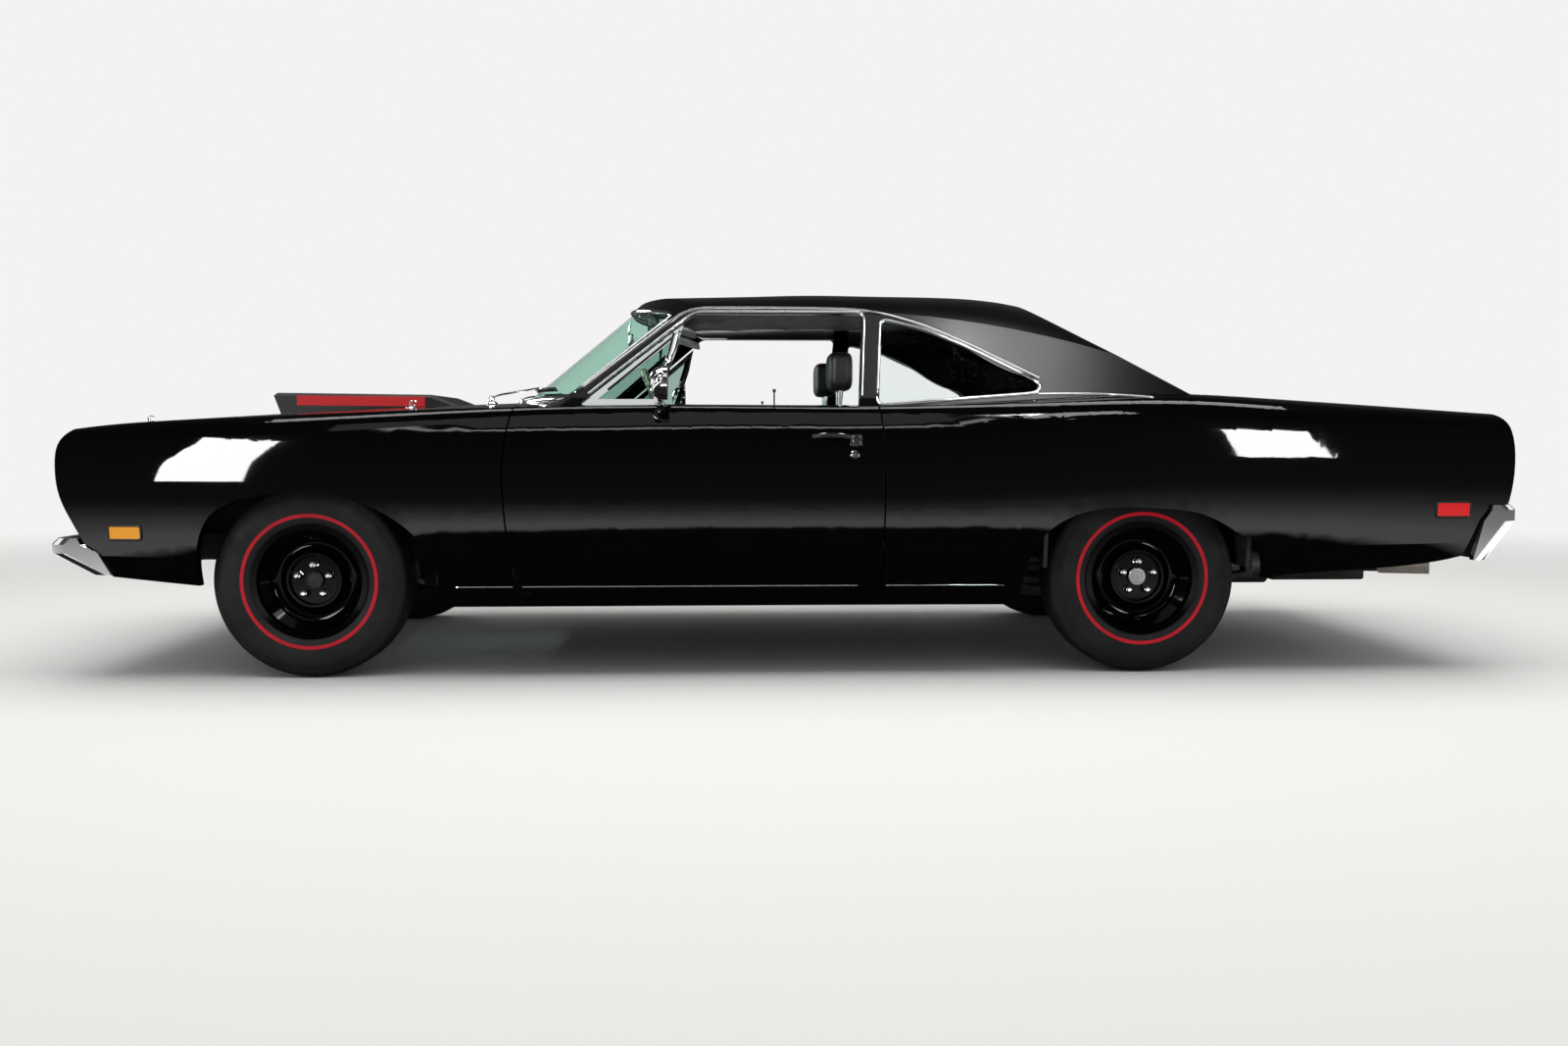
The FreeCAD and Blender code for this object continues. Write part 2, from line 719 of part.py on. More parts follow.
def wheel_runs():
    """The pressed steel wheel's section: two lips, the drop centre, the bowl and the hub's raised ring."""
    edge = rim_width / 2 + rim_wall
    seat = bead_radius - seat_gap
    lip = bead_radius + lip_height
    wall = wheel_disc_wall
    well = [(w * rim_width, r * bead_radius) for w, r in well_shares]
    inside = [(w + math.copysign(rim_wall / 2, w), r - rim_wall) for w, r in well]
    bowl = [(w * rim_width, r * bead_radius) for w, r in bowl_shares]
    behind = [(w - wall, r) for w, r in bowl]
    bowl[0] = (bowl[0][0], inside[1][1])
    behind[0] = (behind[0][0], inside[1][1])
    ring = [(w * rim_width, r * bead_radius) for w, r in hub_shares]
    ring_back = ring[0][0] - wall
    outer = [(-edge, seat - rim_wall), (-edge, lip), (-edge + rim_wall, lip), (-edge + rim_wall, seat)]
    outer = outer + list(reversed(well)) + [(edge - rim_wall, seat), (edge - rim_wall, lip), (edge, lip)]
    outer = outer + [(edge, seat - rim_wall), inside[0], inside[1], bowl[0]]
    hub = [bowl[-1], ring[0], ring[1], (hub_face, ring[1][1]), (hub_face, hub_cap_radius),
           (hub_face - wall, hub_cap_radius), (hub_face - wall, ring[1][1]), (ring_back, ring[0][1]),
           behind[-1]]
    rear = [behind[0], inside[2], inside[3], outer[0]]
    runs = [[outer[i], outer[i + 1]] for i in range(len(outer) - 1)] + [bowl]
    runs = runs + [[hub[i], hub[i + 1]] for i in range(len(hub) - 1)] + [list(reversed(behind))]
    return runs + [[rear[i], rear[i + 1]] for i in range(len(rear) - 1)]


def drum_runs():
    """The brake drum behind the disc, with its bore for the spindle."""
    front = hub_face - wheel_disc_wall
    back = front - drum_width
    wall = wheel_disc_wall
    return polygon([
        (front, hub_bore_radius), (front, drum_radius - drum_slope), (front - drum_nose, drum_radius),
        (back, drum_radius), (back, drum_radius - wall), (front - drum_nose, drum_radius - wall),
        (front - wall, drum_radius - wall - drum_slope), (front - wall, hub_cap_radius), (back, hub_cap_radius),
        (back, hub_bore_radius)])


def build_wheel(x, y, outward):
    """A steel wheel with its drum, five lug nuts and hub cap."""
    front = hub_face - wheel_disc_wall
    cap_end = hub_face + wheel_disc_wall
    cap = [(front, hub_bore_radius), (cap_end, hub_bore_radius), (cap_end, hub_cap_radius),
           (front, hub_cap_radius)]
    pieces = [turned(runs, x, y, outward) for runs in (wheel_runs(), drum_runs(), polygon(cap))]
    root = hub_face - wheel_disc_wall / 2
    for i in range(lug_count):
        angle = 2 * math.pi * i / lug_count + math.pi / 2
        middle = Vector(x + lug_circle_radius * math.cos(angle), y + outward * root,
                        tyre_radius + lug_circle_radius * math.sin(angle))
        corners = []
        for k in range(7):
            turn = math.pi * k / 3
            corners.append(middle + Vector(lug_radius * math.cos(turn), 0, lug_radius * math.sin(turn)))
        nut = Part.Face(Part.makePolygon(corners))
        pieces.append(nut.extrude(Vector(0, outward * (hub_face + lug_length - root), 0)))
    return fused(pieces), y + outward * (front - drum_width)


knuckle_height = 240.0
knuckle_boss_radius = 17.0
knuckle_width = 26.0


def build_knuckle(drum_inner_y):
    """The left knuckle: a spindle, a plate and an upright that turns on its ball joints."""
    x = front_axle_x
    kingpin_y = -(track_front / 2 - kingpin_offset)
    spindle_end = -(track_front / 2 + hub_face)
    spindle = rod(Vector(x, kingpin_y, tyre_radius), Vector(x, spindle_end, tyre_radius), spindle_radius)
    plate_y = drum_inner_y + seat_gap * 2
    plate_radius = knuckle_height / 2 - panel_gap
    plate = Part.makeCylinder(plate_radius, wheel_disc_wall, Vector(x, plate_y, tyre_radius), Vector(0, 1, 0))
    low = tyre_radius - knuckle_height / 2
    upright = Part.makeCylinder(knuckle_boss_radius, knuckle_height, Vector(x, kingpin_y, low))
    bridge = box((x - knuckle_width, x + knuckle_width), (plate_y, kingpin_y),
                 (tyre_radius - knuckle_width * 2, tyre_radius + knuckle_width * 2))
    return fused([spindle, plate, upright, bridge])


arm_width = 50.0
arm_thickness = 22.0
arm_inner_y = 330.0
arm_span = 190.0


def build_arm(z):
    """A wishbone from the kingpin's ball joint to the frame rail, as a flat triangle."""
    x = front_axle_x
    outer_y = -(track_front / 2 - kingpin_offset)
    tip = arm_width / 2
    foot = arm_span - arm_width
    outline = polygon([
        (x - tip, outer_y - tip / 2), (x + tip, outer_y - tip / 2), (x + arm_span, -arm_inner_y),
        (x + foot, -arm_inner_y), (x, outer_y + arm_width * 2), (x - foot, -arm_inner_y),
        (x - arm_span, -arm_inner_y)])
    return plan_prism(outline, z, z + arm_thickness)


rail_width = 70.0
rail_height = 100.0
rail_y = 420.0
apron_top_share = 0.86
support_thickness = 36.0
support_window_half = 315.0
support_beam = 95.0
apron_front_share = -0.70
firewall_share = 0.262
floor_height = 285.0
floor_thickness = 14.0
kick_share = 0.775
pan_front_share = 0.80
pan_rear_share = 0.9454
pan_height = 400.0
trunk_height = 560.0
trunk_low_height = 430.0
trunk_drop_share = 1.25
trunk_end_share = 1.9
trunk_step = 60.0
firewall_drop = 30.0
bend_share = 0.6
sill_width = 60.0
sill_overlap = 40.0
house_clearance = 30.0
house_travel = 60.0
tunnel_half = 150.0
tunnel_height = 385.0
axle_tube_radius = 38.0
casing_radius = 129.0
shaft_radius = 30.0
shaft_front_share = 0.3


def build_front_structure():
    """Frame rails, crossmember, aprons, radiator support and the arms of the front suspension."""
    front = place(apron_front_share)
    rear = place(firewall_share) - seat_gap
    rail_low = floor_height + rail_height
    apron_top = belt_height * apron_top_share
    rails = []
    for side in (-1, 1):
        y = side * rail_y
        span = (y - rail_width / 2, y + rail_width / 2)
        rails.append(box((front, rear), span, (rail_low, rail_low + rail_height)))
        rails.append(box((front, rear), (y - sheet_metal / 2, y + sheet_metal / 2), (rail_low, apron_top)))
    support = box((front, front + support_thickness), (-rail_y, rail_y), (rail_low, apron_top))
    window = box((front - sheet_metal, front + support_thickness + sheet_metal),
                 (-support_window_half, support_window_half),
                 (rail_low + rail_height, apron_top - support_beam))
    cross_low = tyre_radius - knuckle_height / 2 + arm_thickness
    cross = box((front_axle_x - arm_span, front_axle_x + arm_span - arm_width), (-rail_y, rail_y),
                (cross_low, rail_low + rail_height / 2))
    low = tyre_radius - knuckle_height / 2 - arm_thickness - seat_gap
    high = tyre_radius + knuckle_height / 2 + seat_gap
    arms = []
    for z in (low, high):
        arms.append(build_arm(z))
        arms.append(mirrored(build_arm(z)))
    posts = []
    for side in (-1, 1):
        for end in (-1, 1):
            x = front_axle_x + end * (arm_span - arm_width / 2)
            posts.append(box((x - arm_width / 2, x + arm_width / 2),
                             (side * arm_inner_y - arm_thickness, side * arm_inner_y + arm_thickness),
                             (low, high + arm_thickness)))
    body = fused(rails + [support, cross] + posts + arms)
    return body.cut(window)


engine_front_share = -0.24
engine_rear_share = 0.135
engine_half_width = 285.0
engine_top = 820.0


def build_engine():
    """The engine as one plain block on the crossmember, with its sump between the rails."""
    base = floor_height + rail_height + rail_height / 2
    return box((place(engine_front_share), place(engine_rear_share)), (-engine_half_width, engine_half_width),
               (base + seat_gap, engine_top))


def build_floor(inner):
    """The underbody: firewall, floor with its tunnel, sills, rear seat pan, wheel houses and trunk floor."""
    fire = place(firewall_share)
    kick = place(kick_share)
    pan_front = place(pan_front_share)
    pan_rear = place(pan_rear_share)
    drop = place(trunk_drop_share)
    end = place(trunk_end_share)
    t = floor_thickness
    top = belt_height - firewall_drop
    bend = t * bend_share
    outline = polygon([
        (fire, top), (fire, floor_height), (kick + bend, floor_height), (pan_front + bend, pan_height),
        (pan_rear + t, pan_height), (pan_rear + t, trunk_height), (drop, trunk_height),
        (drop + trunk_step, trunk_low_height), (end, trunk_low_height), (end, trunk_low_height + t),
        (drop + trunk_step + bend, trunk_low_height + t), (drop + bend, trunk_height + t),
        (pan_rear, trunk_height + t), (pan_rear, pan_height + t), (pan_front - bend, pan_height + t),
        (kick - bend, floor_height + t), (fire + t, floor_height + t), (fire + t, top)])
    wide = door_inner - seat_gap
    pan = side_prism(outline, -wide, wide)
    tunnel = box((fire, kick), (-tunnel_half, tunnel_half), (floor_height, tunnel_height))
    tunnel_hole = box((fire - t, pan_front), (-tunnel_half + t, tunnel_half - t),
                      (floor_height - t, tunnel_height - t))
    sill_top = door_bottom + sill_overlap
    sill = box((fire, kick), (-wide, -wide + sill_width), (rocker_height + seat_gap, sill_top))
    house_reach = tyre_radius + house_clearance
    house_top = 2 * tyre_radius + house_travel
    low = tyre_radius + axle_tube_radius + panel_gap
    inner_y = track_rear / 2 - tyre_width / 2 - house_clearance
    house = box((rear_axle_x - house_reach, rear_axle_x + house_reach), (-half_width + side_wall, -inner_y),
                (low, house_top))
    room = box((rear_axle_x - house_reach + t, rear_axle_x + house_reach - t), (-half_width, -inner_y - t),
               (rocker_height, house_top - t))
    body = pan.fuse([tunnel, sill, mirrored(sill), house, mirrored(house)])
    body = body.cut([room, mirrored(room), tunnel_hole])
    sill_room = box((fire, kick), (-wide, wide), (rocker_height, sill_top))
    return body.common(inner.fuse(sill_room))


def build_rear_axle(drum_inner_y):
    """Axle tubes, differential, end stubs, backing plates and the drive shaft."""
    stub_end = track_rear / 2 + hub_face
    middle = Vector(rear_axle_x, 0, tyre_radius)
    tube_end = -drum_inner_y - seat_gap * 2
    tube = rod(Vector(rear_axle_x, -tube_end, tyre_radius), Vector(rear_axle_x, tube_end, tyre_radius),
               axle_tube_radius)
    stubs = rod(Vector(rear_axle_x, -stub_end, tyre_radius), Vector(rear_axle_x, stub_end, tyre_radius),
                spindle_radius)
    casing = Part.makeSphere(casing_radius, middle)
    plates = []
    for side in (-1, 1):
        start = Vector(rear_axle_x, side * tube_end, tyre_radius)
        plates.append(Part.makeCylinder(drum_radius, wheel_disc_wall, start, Vector(0, -side, 0)))
    shaft = rod(Vector(place(shaft_front_share), 0, tyre_radius - shaft_radius), middle, shaft_radius)
    return fused([tube, stubs, casing, shaft] + plates)


spring_y = 560.0
spring_width = 62.0
spring_front_share = 0.83
spring_rear_share = 1.37
spring_thickness = 24.0


def build_springs():
    """A leaf spring under the axle on each side, with the shackle that hangs it from the trunk floor."""
    front = place(spring_front_share)
    rear = place(spring_rear_share)
    low = tyre_radius - axle_tube_radius - spring_thickness - seat_gap
    ends = tyre_radius
    top = [(front, ends), (rear_axle_x, low + spring_thickness), (rear, ends)]
    under = [(rear, ends - spring_thickness), (rear_axle_x, low), (front, ends - spring_thickness)]
    runs = [top, [top[-1], under[0]], under, [under[-1], top[0]]]
    span = (-spring_y - spring_width / 2, -spring_y + spring_width / 2)
    leaf = side_prism(runs, span[0], span[1])
    shackle_top = trunk_low_height - seat_gap
    shackle = box((rear - spring_thickness, rear), span, (ends - spring_thickness, shackle_top))
    return both(leaf.fuse(shackle))


pipe_radius = 30.0
pipe_y = 250.0
pipe_height = 250.0
pipe_front_share = 0.17
pipe_dip = 86.0
tip_y = 560.0
tip_end_share = 1.88
tip_rise = 15.0
muffler_radius = 85.0
muffler_front_share = 1.19
muffler_rear_share = 1.5


def build_exhaust():
    """Two pipes beside the tunnel, a muffler behind the axle on each side and two tips under the tail."""
    muffler_height = trunk_low_height - muffler_radius - seat_gap * 2
    route = [
        Vector(place(pipe_front_share), -pipe_y, pipe_height),
        Vector(rear_axle_x - tyre_radius, -pipe_y, pipe_height),
        Vector(rear_axle_x, -pipe_y, tyre_radius - axle_tube_radius - pipe_dip),
        Vector(place(muffler_front_share), -pipe_y, muffler_height),
    ]
    muffler_end = Vector(place(muffler_rear_share), -pipe_y, muffler_height)
    pieces = [rod(route[i], route[i + 1], pipe_radius) for i in range(3)]
    pieces = pieces + [Part.makeSphere(pipe_radius, bend) for bend in route[1:3]]
    pieces.append(rod(route[3], muffler_end, muffler_radius))
    tip_start = muffler_end - Vector(pipe_radius, 0, 0)
    tip_end = Vector(place(tip_end_share), -tip_y, muffler_height + tip_rise)
    pieces.append(rod(tip_start, tip_end, pipe_radius))
    return both(pieces[0].fuse(pieces[1:]))


tank_front_share = 1.55
tank_rear_share = 1.84
tank_half = 175.0
tank_depth = 170.0


def build_tank():
    """The fuel tank under the trunk floor, between the mufflers and the tail."""
    tank = box((place(tank_front_share), place(tank_rear_share)), (-tank_half, tank_half),
               (trunk_low_height - tank_depth, trunk_low_height - seat_gap))
    return tank.makeFillet(sheet_metal, tank.Edges)


nose_depth = 120.0
grille_front_share = -0.925
grille_low_share = 0.58
grille_high_share = 0.87
lamp_radius = 72.0
lamp_thickness = 24.0
lamp_outer_y = 690.0
lamp_inner_y = 505.0
lamp_height = 690.0
blade_count = 9
blade_thickness = 8.0
blade_inset = 54.0


def forward_disc(radius, start, length, y):
    """A round disc along X, for a head lamp, its cup or the hole it sits in."""
    return Part.makeCylinder(radius, length, Vector(start, y, lamp_height), Vector(1, 0, 0))


def build_grille(inner, body):
    """A frame that closes the nose between the fenders, with its blades and four lamp cups."""
    front = place(grille_front_share)
    back = front + nose_depth
    low = belt_height * grille_low_share
    high = belt_height * grille_high_share
    half = hood_front_half + overrun
    core = under_lids(inner).common(body)
    core = core.common(box((front, back), (-half_width, half_width), (low - overrun, belt_height)))
    mouth = box((front - overrun, back - sheet_metal), (-half, half), (low, high))
    pieces = [core.cut(mouth)]
    pitch = (high - low) / (blade_count + 1)
    blade_front = front + blade_inset
    blade_back = back - sheet_metal / 2
    for i in range(blade_count):
        z = low + pitch * (i + 1)
        pieces.append(box((blade_front, blade_back), (-half - sheet_metal / 2, half + sheet_metal / 2),
                          (z - blade_thickness / 2, z + blade_thickness / 2)))
    pieces.append(box((blade_front - sheet_metal, blade_back), (-sheet_metal, sheet_metal),
                      (low - blade_thickness, high + blade_thickness)))
    cup_front = blade_front - lamp_thickness
    lamps = []
    holes = []
    for y in (-lamp_outer_y, -lamp_inner_y, lamp_inner_y, lamp_outer_y):
        pieces.append(forward_disc(lamp_radius + sheet_metal, cup_front, blade_back - cup_front, y))
        lamps.append(forward_disc(lamp_radius, cup_front + sheet_metal / 2, lamp_thickness, y))
        holes.append(forward_disc(lamp_radius + seat_gap, cup_front, sheet_metal / 2 + lamp_thickness, y))
    return fused(pieces).cut(holes), Part.makeCompound(lamps)


tail_low_share = 0.5
tail_rear_share = 1.955
tail_thickness = 36.0
lamp_depth = 18.0
lamp_low_share = 0.7
lamp_high_share = 0.83

# Where each tail lamp starts and ends across the car, as shares of the half width
lamp_span_shares = [(0.32, 0.56), (0.6, 0.84)]


def under_lids(inner):
    """The space inside the walls, with a seat gap left under the hood and the deck lid."""
    lowered = inner.copy()
    lowered.translate(Vector(0, 0, -seat_gap))
    return inner.common(lowered)


def build_tail(inner, body):
    """The tail panel that closes the body, with a recess for each lamp."""
    rear = place(tail_rear_share)
    core = under_lids(inner).common(body)
    core = core.common(box((rear - tail_thickness, rear), (-half_width, half_width),
                           (belt_height * tail_low_share, belt_height)))
    low = belt_height * lamp_low_share
    high = belt_height * lamp_high_share
    back = rear - sheet_metal / 2 - lamp_depth
    lamps = []
    recesses = []
    for start, end in lamp_span_shares:
        lamp = box((back, back + lamp_depth), (-end * half_width, -start * half_width), (low, high))
        recess = box((back - seat_gap, rear + overrun),
                     (-end * half_width - seat_gap, -start * half_width + seat_gap),
                     (low - seat_gap, high + seat_gap))
        lamps = lamps + [lamp, mirrored(lamp)]
        recesses = recesses + [recess, mirrored(recess)]
    return core.cut(recesses), lamps


def bar_side(z, tip, end, half, corner, x_tip, direction):
    """One face of the bumper bar in plan: a return, a round corner, the bowed front, and the same again."""
    turn = corner * (1 - math.sqrt(0.5))
    root = tip + bumper_bow

    def at(back, y):
        return Vector(x_tip - direction * back, y, z)

    left = [at(end, -half), at(root + corner, -half), at(root + turn, turn - half), at(root, corner - half)]
    right = [Vector(point.x, -point.y, z) for point in reversed(left)]
    return [
        Part.makeLine(left[0], left[1]),
        Part.Arc(left[1], left[2], left[3]).toShape(),
        Part.Arc(left[3], at(tip, 0), right[0]).toShape(),
        Part.Arc(right[0], right[1], right[2]).toShape(),
        Part.makeLine(right[2], right[3]),
    ]


def build_bumper(levels, half, x_tip, direction, kept_clear):
    """A bumper bar with straight facets between its levels, each a (height, set back, end) triple."""
    wires = []
    for height, tip, end in levels:
        outer = bar_side(height, tip, end, half, bumper_corner, x_tip, direction)
        inner = bar_side(height, tip + bumper_wall, end, half - bumper_wall, bumper_corner - bumper_wall,
                         x_tip, direction)
        closing = Part.makeLine(outer[-1].lastVertex().Point, inner[-1].lastVertex().Point)
        opening = Part.makeLine(inner[0].firstVertex().Point, outer[0].firstVertex().Point)
        wires.append(Part.Wire(Part.__sortEdges__(outer + [closing] + inner + [opening])))
    return Part.makeLoft(wires, True, True).cut(kept_clear)


def bumper_irons(start, end, low):
    """The two flat irons that carry a bumper, from one X to another."""
    iron = box((start, end), (-rail_y - iron_width / 2, -rail_y + iron_width / 2), (low, low + iron_height))
    return [iron, mirrored(iron)]


dash_depth = 230.0
dash_drop = 30.0
dash_height = 220.0
dash_half = 685.0
dash_back_rise = 20.0
dash_knee_depth = 138.0
dash_pad_drop = 90.0
dash_pad_depth = 214.0


def build_dash():
    """The dashboard's profile, with its padded nose, carried across the cabin."""
    fire = place(firewall_share) + floor_thickness + seat_gap
    high = belt_height - dash_drop
    knee = (fire + dash_knee_depth, high - dash_height)
    outline = [
        [(fire, high), (fire, knee[1] + dash_back_rise)],
        [(fire, knee[1] + dash_back_rise), knee],
        [knee, (fire + dash_depth, high - dash_pad_drop), (fire + dash_pad_depth, high)],
        [(fire + dash_pad_depth, high), (fire, high)],
    ]
    return side_prism(outline, -dash_half, dash_half)


wheel_ring_radius = 190.0
wheel_ring_tube = 13.0
steering_y = 400.0
steering_share = 0.4165
steering_height = 925.0
steering_tilt = 26.4
column_radius = 26.0
hub_radius = 44.0
hub_length = 38.0
hub_drop = 61.0
spoke_radius = 8.0
spoke_rise = 19.0
spoke_angles = (90, 210, 330)


def steering_axis():
    """The direction of the steering column, towards the driver."""
    tilt = math.radians(steering_tilt)
    return Vector(math.cos(tilt), 0, math.sin(tilt))


def build_steering_wheel():
    """The wheel's ring on three spokes that rise from a hub below it. Also gives where the hub starts."""
    middle = Vector(place(steering_share), -steering_y, steering_height)
    axis = steering_axis()
    hub_start = middle - axis * hub_drop
    pieces = [Part.makeTorus(wheel_ring_radius, wheel_ring_tube, middle, axis),
              Part.makeCylinder(hub_radius, hub_length, hub_start, axis)]
    across = Vector(0, 1, 0)
    up = axis.cross(across)
    for angle in spoke_angles:
        turn = math.radians(angle)
        outward = up * math.sin(turn) + across * math.cos(turn)
        pieces.append(rod(hub_start + axis * spoke_rise, middle + outward * wheel_ring_radius, spoke_radius))
    return fused(pieces), hub_start


def build_column(hub_start, radius):
    """The steering column from the hub to just behind the firewall."""
    axis = steering_axis()
    end = hub_start - axis * seat_gap
    length = (end.x - place(firewall_share) - floor_thickness * 2) / axis.x
    return rod(end - axis * length, end, radius)


cushion_round = 34.0
seat_half = 620.0
front_seat_share = 0.4318
seat_length = 480.0
seat_height = 520.0
seat_rise = 20.0
seat_fall = 30.0
seat_back_height = 960.0
seat_back_depth = 150.0
seat_rake = 0.16
headrest_half = 125.0
headrest_height = 150.0
headrest_depth = 95.0
headrest_gap = 60.0
headrest_post = 7.0
leg_width = 60.0
leg_thickness = 24.0
leg_shares = (0.15, 0.85)


def cushion(points, half):
    """A soft bench: a side view outline carried across, with rounded ends."""
    shape = side_prism(polygon(points), -half, half)
    return shape.makeFillet(cushion_round, shape.Edges)


def build_headrest(x, y):
    """A rounded headrest on two posts that stand in the seat back."""
    low = seat_back_height + headrest_gap
    head = box((x, x + headrest_depth), (y - headrest_half, y + headrest_half), (low, low + headrest_height))
    pieces = [head.makeFillet(cushion_round, head.Edges)]
    for side in (-1, 1):
        foot = Vector(x + headrest_depth / 2, y + side * headrest_half / 2, seat_back_height - headrest_gap)
        pieces.append(Part.makeCylinder(headrest_post, headrest_height + headrest_gap, foot))
    return pieces


def build_front_seat():
    """The front bench on four legs, with its raked back and two headrests."""
    x = place(front_seat_share)
    low = tunnel_height + seat_gap
    bench = cushion([(x, low), (x + seat_length, low), (x + seat_length, seat_height - seat_fall),
                     (x, seat_height + seat_rise)], seat_half)
    lean = seat_rake * (seat_back_height - low)
    foot = x + seat_length - cushion_round
    head = foot + lean + cushion_round
    heel = foot + seat_back_depth
    back = cushion([(foot, low), (heel, low), (heel + lean - cushion_round, seat_back_height),
                    (head, seat_back_height)], seat_half)
    pieces = [bench, back]
    for side in (-1, 1):
        pieces = pieces + build_headrest(head, side * steering_y)
        for share in leg_shares:
            leg_x = x + seat_length * share
            leg_y = side * (seat_half - leg_width)
            pieces.append(box((leg_x - leg_thickness / 2, leg_x + leg_thickness / 2),
                              (leg_y - leg_width / 2, leg_y + leg_width / 2),
                              (floor_height + floor_thickness + seat_gap, low + cushion_round)))
    return fused(pieces)


rear_seat_share = 0.795
rear_seat_length = 400.0
rear_seat_thickness = 150.0
rear_back_depth = 120.0
rear_back_rake = 0.2
rear_back_height = 905.0


def build_rear_seat():
    """The rear bench on its pan, between the wheel houses."""
    half = track_rear / 2 - tyre_width / 2 - house_clearance - seat_gap * 2
    low = pan_height + floor_thickness + seat_gap
    front = place(rear_seat_share)
    rear = front + rear_seat_length
    lean = rear_back_rake * (rear_back_height - low)
    seat = box((front, rear), (-half, half), (low, low + rear_seat_thickness))
    back = side_prism(polygon([(rear - rear_back_depth, low), (rear, low), (rear + lean, rear_back_height),
                               (rear + lean - rear_back_depth, rear_back_height)]), -half, half)
    seat = seat.makeFillet(cushion_round, seat.Edges)
    back = back.makeFillet(cushion_round, back.Edges)
    return fused([seat, back])


scoop_front_share = -0.314
scoop_rear_share = 0.1446
scoop_top_share = 0.828
scoop_mouth_share = 0.6
scoop_rear_half = 266.0
scoop_half = 330.0
scoop_height = 1016.0
scoop_tail_height = 965.0
scoop_lean = 30.0
scoop_bevel = 11.0


def scoop_plan(front, rear, reach, inset):
    """The scoop's plan view from its front as far back as reach, moved in by an inset."""
    halves = (scoop_half - inset, scoop_rear_half - inset)
    back = seam_half(reach, (front, rear), halves)
    return polygon([(front, -halves[0]), (reach, -back), (reach, back), (front, halves[0])])


def build_scoop(outer):
    """The hood scoop: an open mouth at the front, and a back that runs down into the hood."""
    front = place(scoop_front_share)
    rear = place(scoop_rear_share)
    low = belt_height - 2 * overrun
    top_rear = front + (rear - front) * scoop_top_share
    outline = polygon([
        (front + scoop_lean * 2, low), (front, scoop_height - scoop_bevel),
        (front + scoop_bevel, scoop_height), (top_rear, scoop_height - scoop_bevel / 2),
        (rear, scoop_tail_height), (rear, low)])
    body = side_prism(outline, -scoop_half, scoop_half)
    body = body.common(plan_prism(scoop_plan(front, rear, rear, 0), low, scoop_height + overrun))
    body = body.makeChamfer(scoop_bevel, [edge for edge in body.Edges if is_top_side(edge)])
    reach = front + (rear - front) * scoop_mouth_share
    mouth = plan_prism(scoop_plan(front, rear, reach, sheet_metal), low - overrun, scoop_height - sheet_metal)
    return body.cut([mouth, outer])


def is_top_side(edge):
    """True for an edge that runs along the scoop's upper sides."""
    limits = edge.BoundBox
    return limits.XLength > overrun and abs(limits.Center.y) > scoop_half / 2 and limits.ZMin > belt_height


cowl_end_share = 0.5
deck_front_share = 0.9
lid_cut_share = 0.7
cabin_drop = 240.0


def lid_prism(plan):
    """A plan view outline carried through the upper part of the skin only."""
    return plan_prism(plan, belt_height * lid_cut_share, roof_height)


def build_panels(shell):
    """The painted panels, cut from the shell along the shut lines, and the car's side view as a solid."""
    body = side_prism(body_outline(), -half_width - overrun, half_width + overrun)
    shell = shell.common(body)
    hood = shell.common(lid_prism(hood_plan(0)))
    deck_lid = shell.common(lid_prism(lid_plan(0)))
    cabin_room = cabin_block(roof_wall, belt_height - cabin_drop, roof_height + overrun)
    door_room = side_prism(door_outline(panel_gap), -half_width - overrun, -door_inner + panel_gap)
    rest = shell.cut([lid_prism(hood_plan(panel_gap)), lid_prism(lid_plan(panel_gap)), cabin_room, door_room,
                      mirrored(door_room)])

    seam_x = points_of(door_front_shares)[-1][0] - panel_gap
    hood_rear = place(hood_rear_share)
    cowl_end = place(cowl_end_share)
    lid_span = (belt_height * lid_cut_share, roof_height)
    cowl_half = hood_rear_half + panel_gap
    cowl_zone = box((hood_rear, cowl_end), (-cowl_half, cowl_half), lid_span)
    door_edge = door_inner - panel_gap
    cowl_sides = box((seam_x, cowl_end), (-door_edge, door_edge), lid_span)
    deck_zone = box((place(deck_front_share), place(lid_front_share)), (-lid_front_half, lid_front_half),
                    lid_span)
    cowl = rest.common(cowl_zone.fuse(cowl_sides))
    rest = rest.cut([cowl_zone, cowl_sides])
    rear_deck = rest.common(deck_zone)
    rest = rest.cut(deck_zone)

    parting = seam_x + seat_gap
    left_side = (-half_width - overrun, 0)
    whole_height = (-overrun, roof_height)
    fender = rest.common(box((-overall_length, parting), left_side, whole_height))
    quarter = rest.common(box((parting, overall_length), left_side, whole_height))
    return body, hood, deck_lid, cowl, rear_deck, fender, quarter


valance_back = 18.0


def build_valance(inner):
    """The panel below the front bumper, between the fenders."""
    front, end = points_of(nose_shares)[-2:]
    t = sheet_metal
    outline = polygon([front, end, (end[0] + overrun, end[1]), (end[0] + overrun, end[1] + t),
                       (end[0] + t, end[1] + t), (front[0] + valance_back, front[1])])
    return side_prism(outline, -half_width, half_width).common(inner)


# Side lamps, as (place share, height, length, height of the lamp)
front_marker = (-0.672, 520.0, 107.0, 41.0)
rear_marker = (1.805, 590.0, 119.0, 46.0)
marker_proud = 4.0
marker_depth = 14.0


def marker_block(share, height, span, rise, grow):
    """The side lamp's outline, carried through the left side and grown by a gap."""
    x = place(share)
    return box((x - span / 2 - grow, x + span / 2 + grow), (-half_width - overrun, -half_width / 2),
               (height - rise / 2 - grow, height + rise / 2 + grow))


def skin_band(block, outer, proud, deep):
    """The part of a block between a surface just outside the skin and one inside it."""
    near = outer.common(block)
    out = near.copy()
    out.translate(Vector(0, -proud, 0))
    deeper = near.copy()
    deeper.translate(Vector(0, deep, 0))
    return out.cut(deeper)


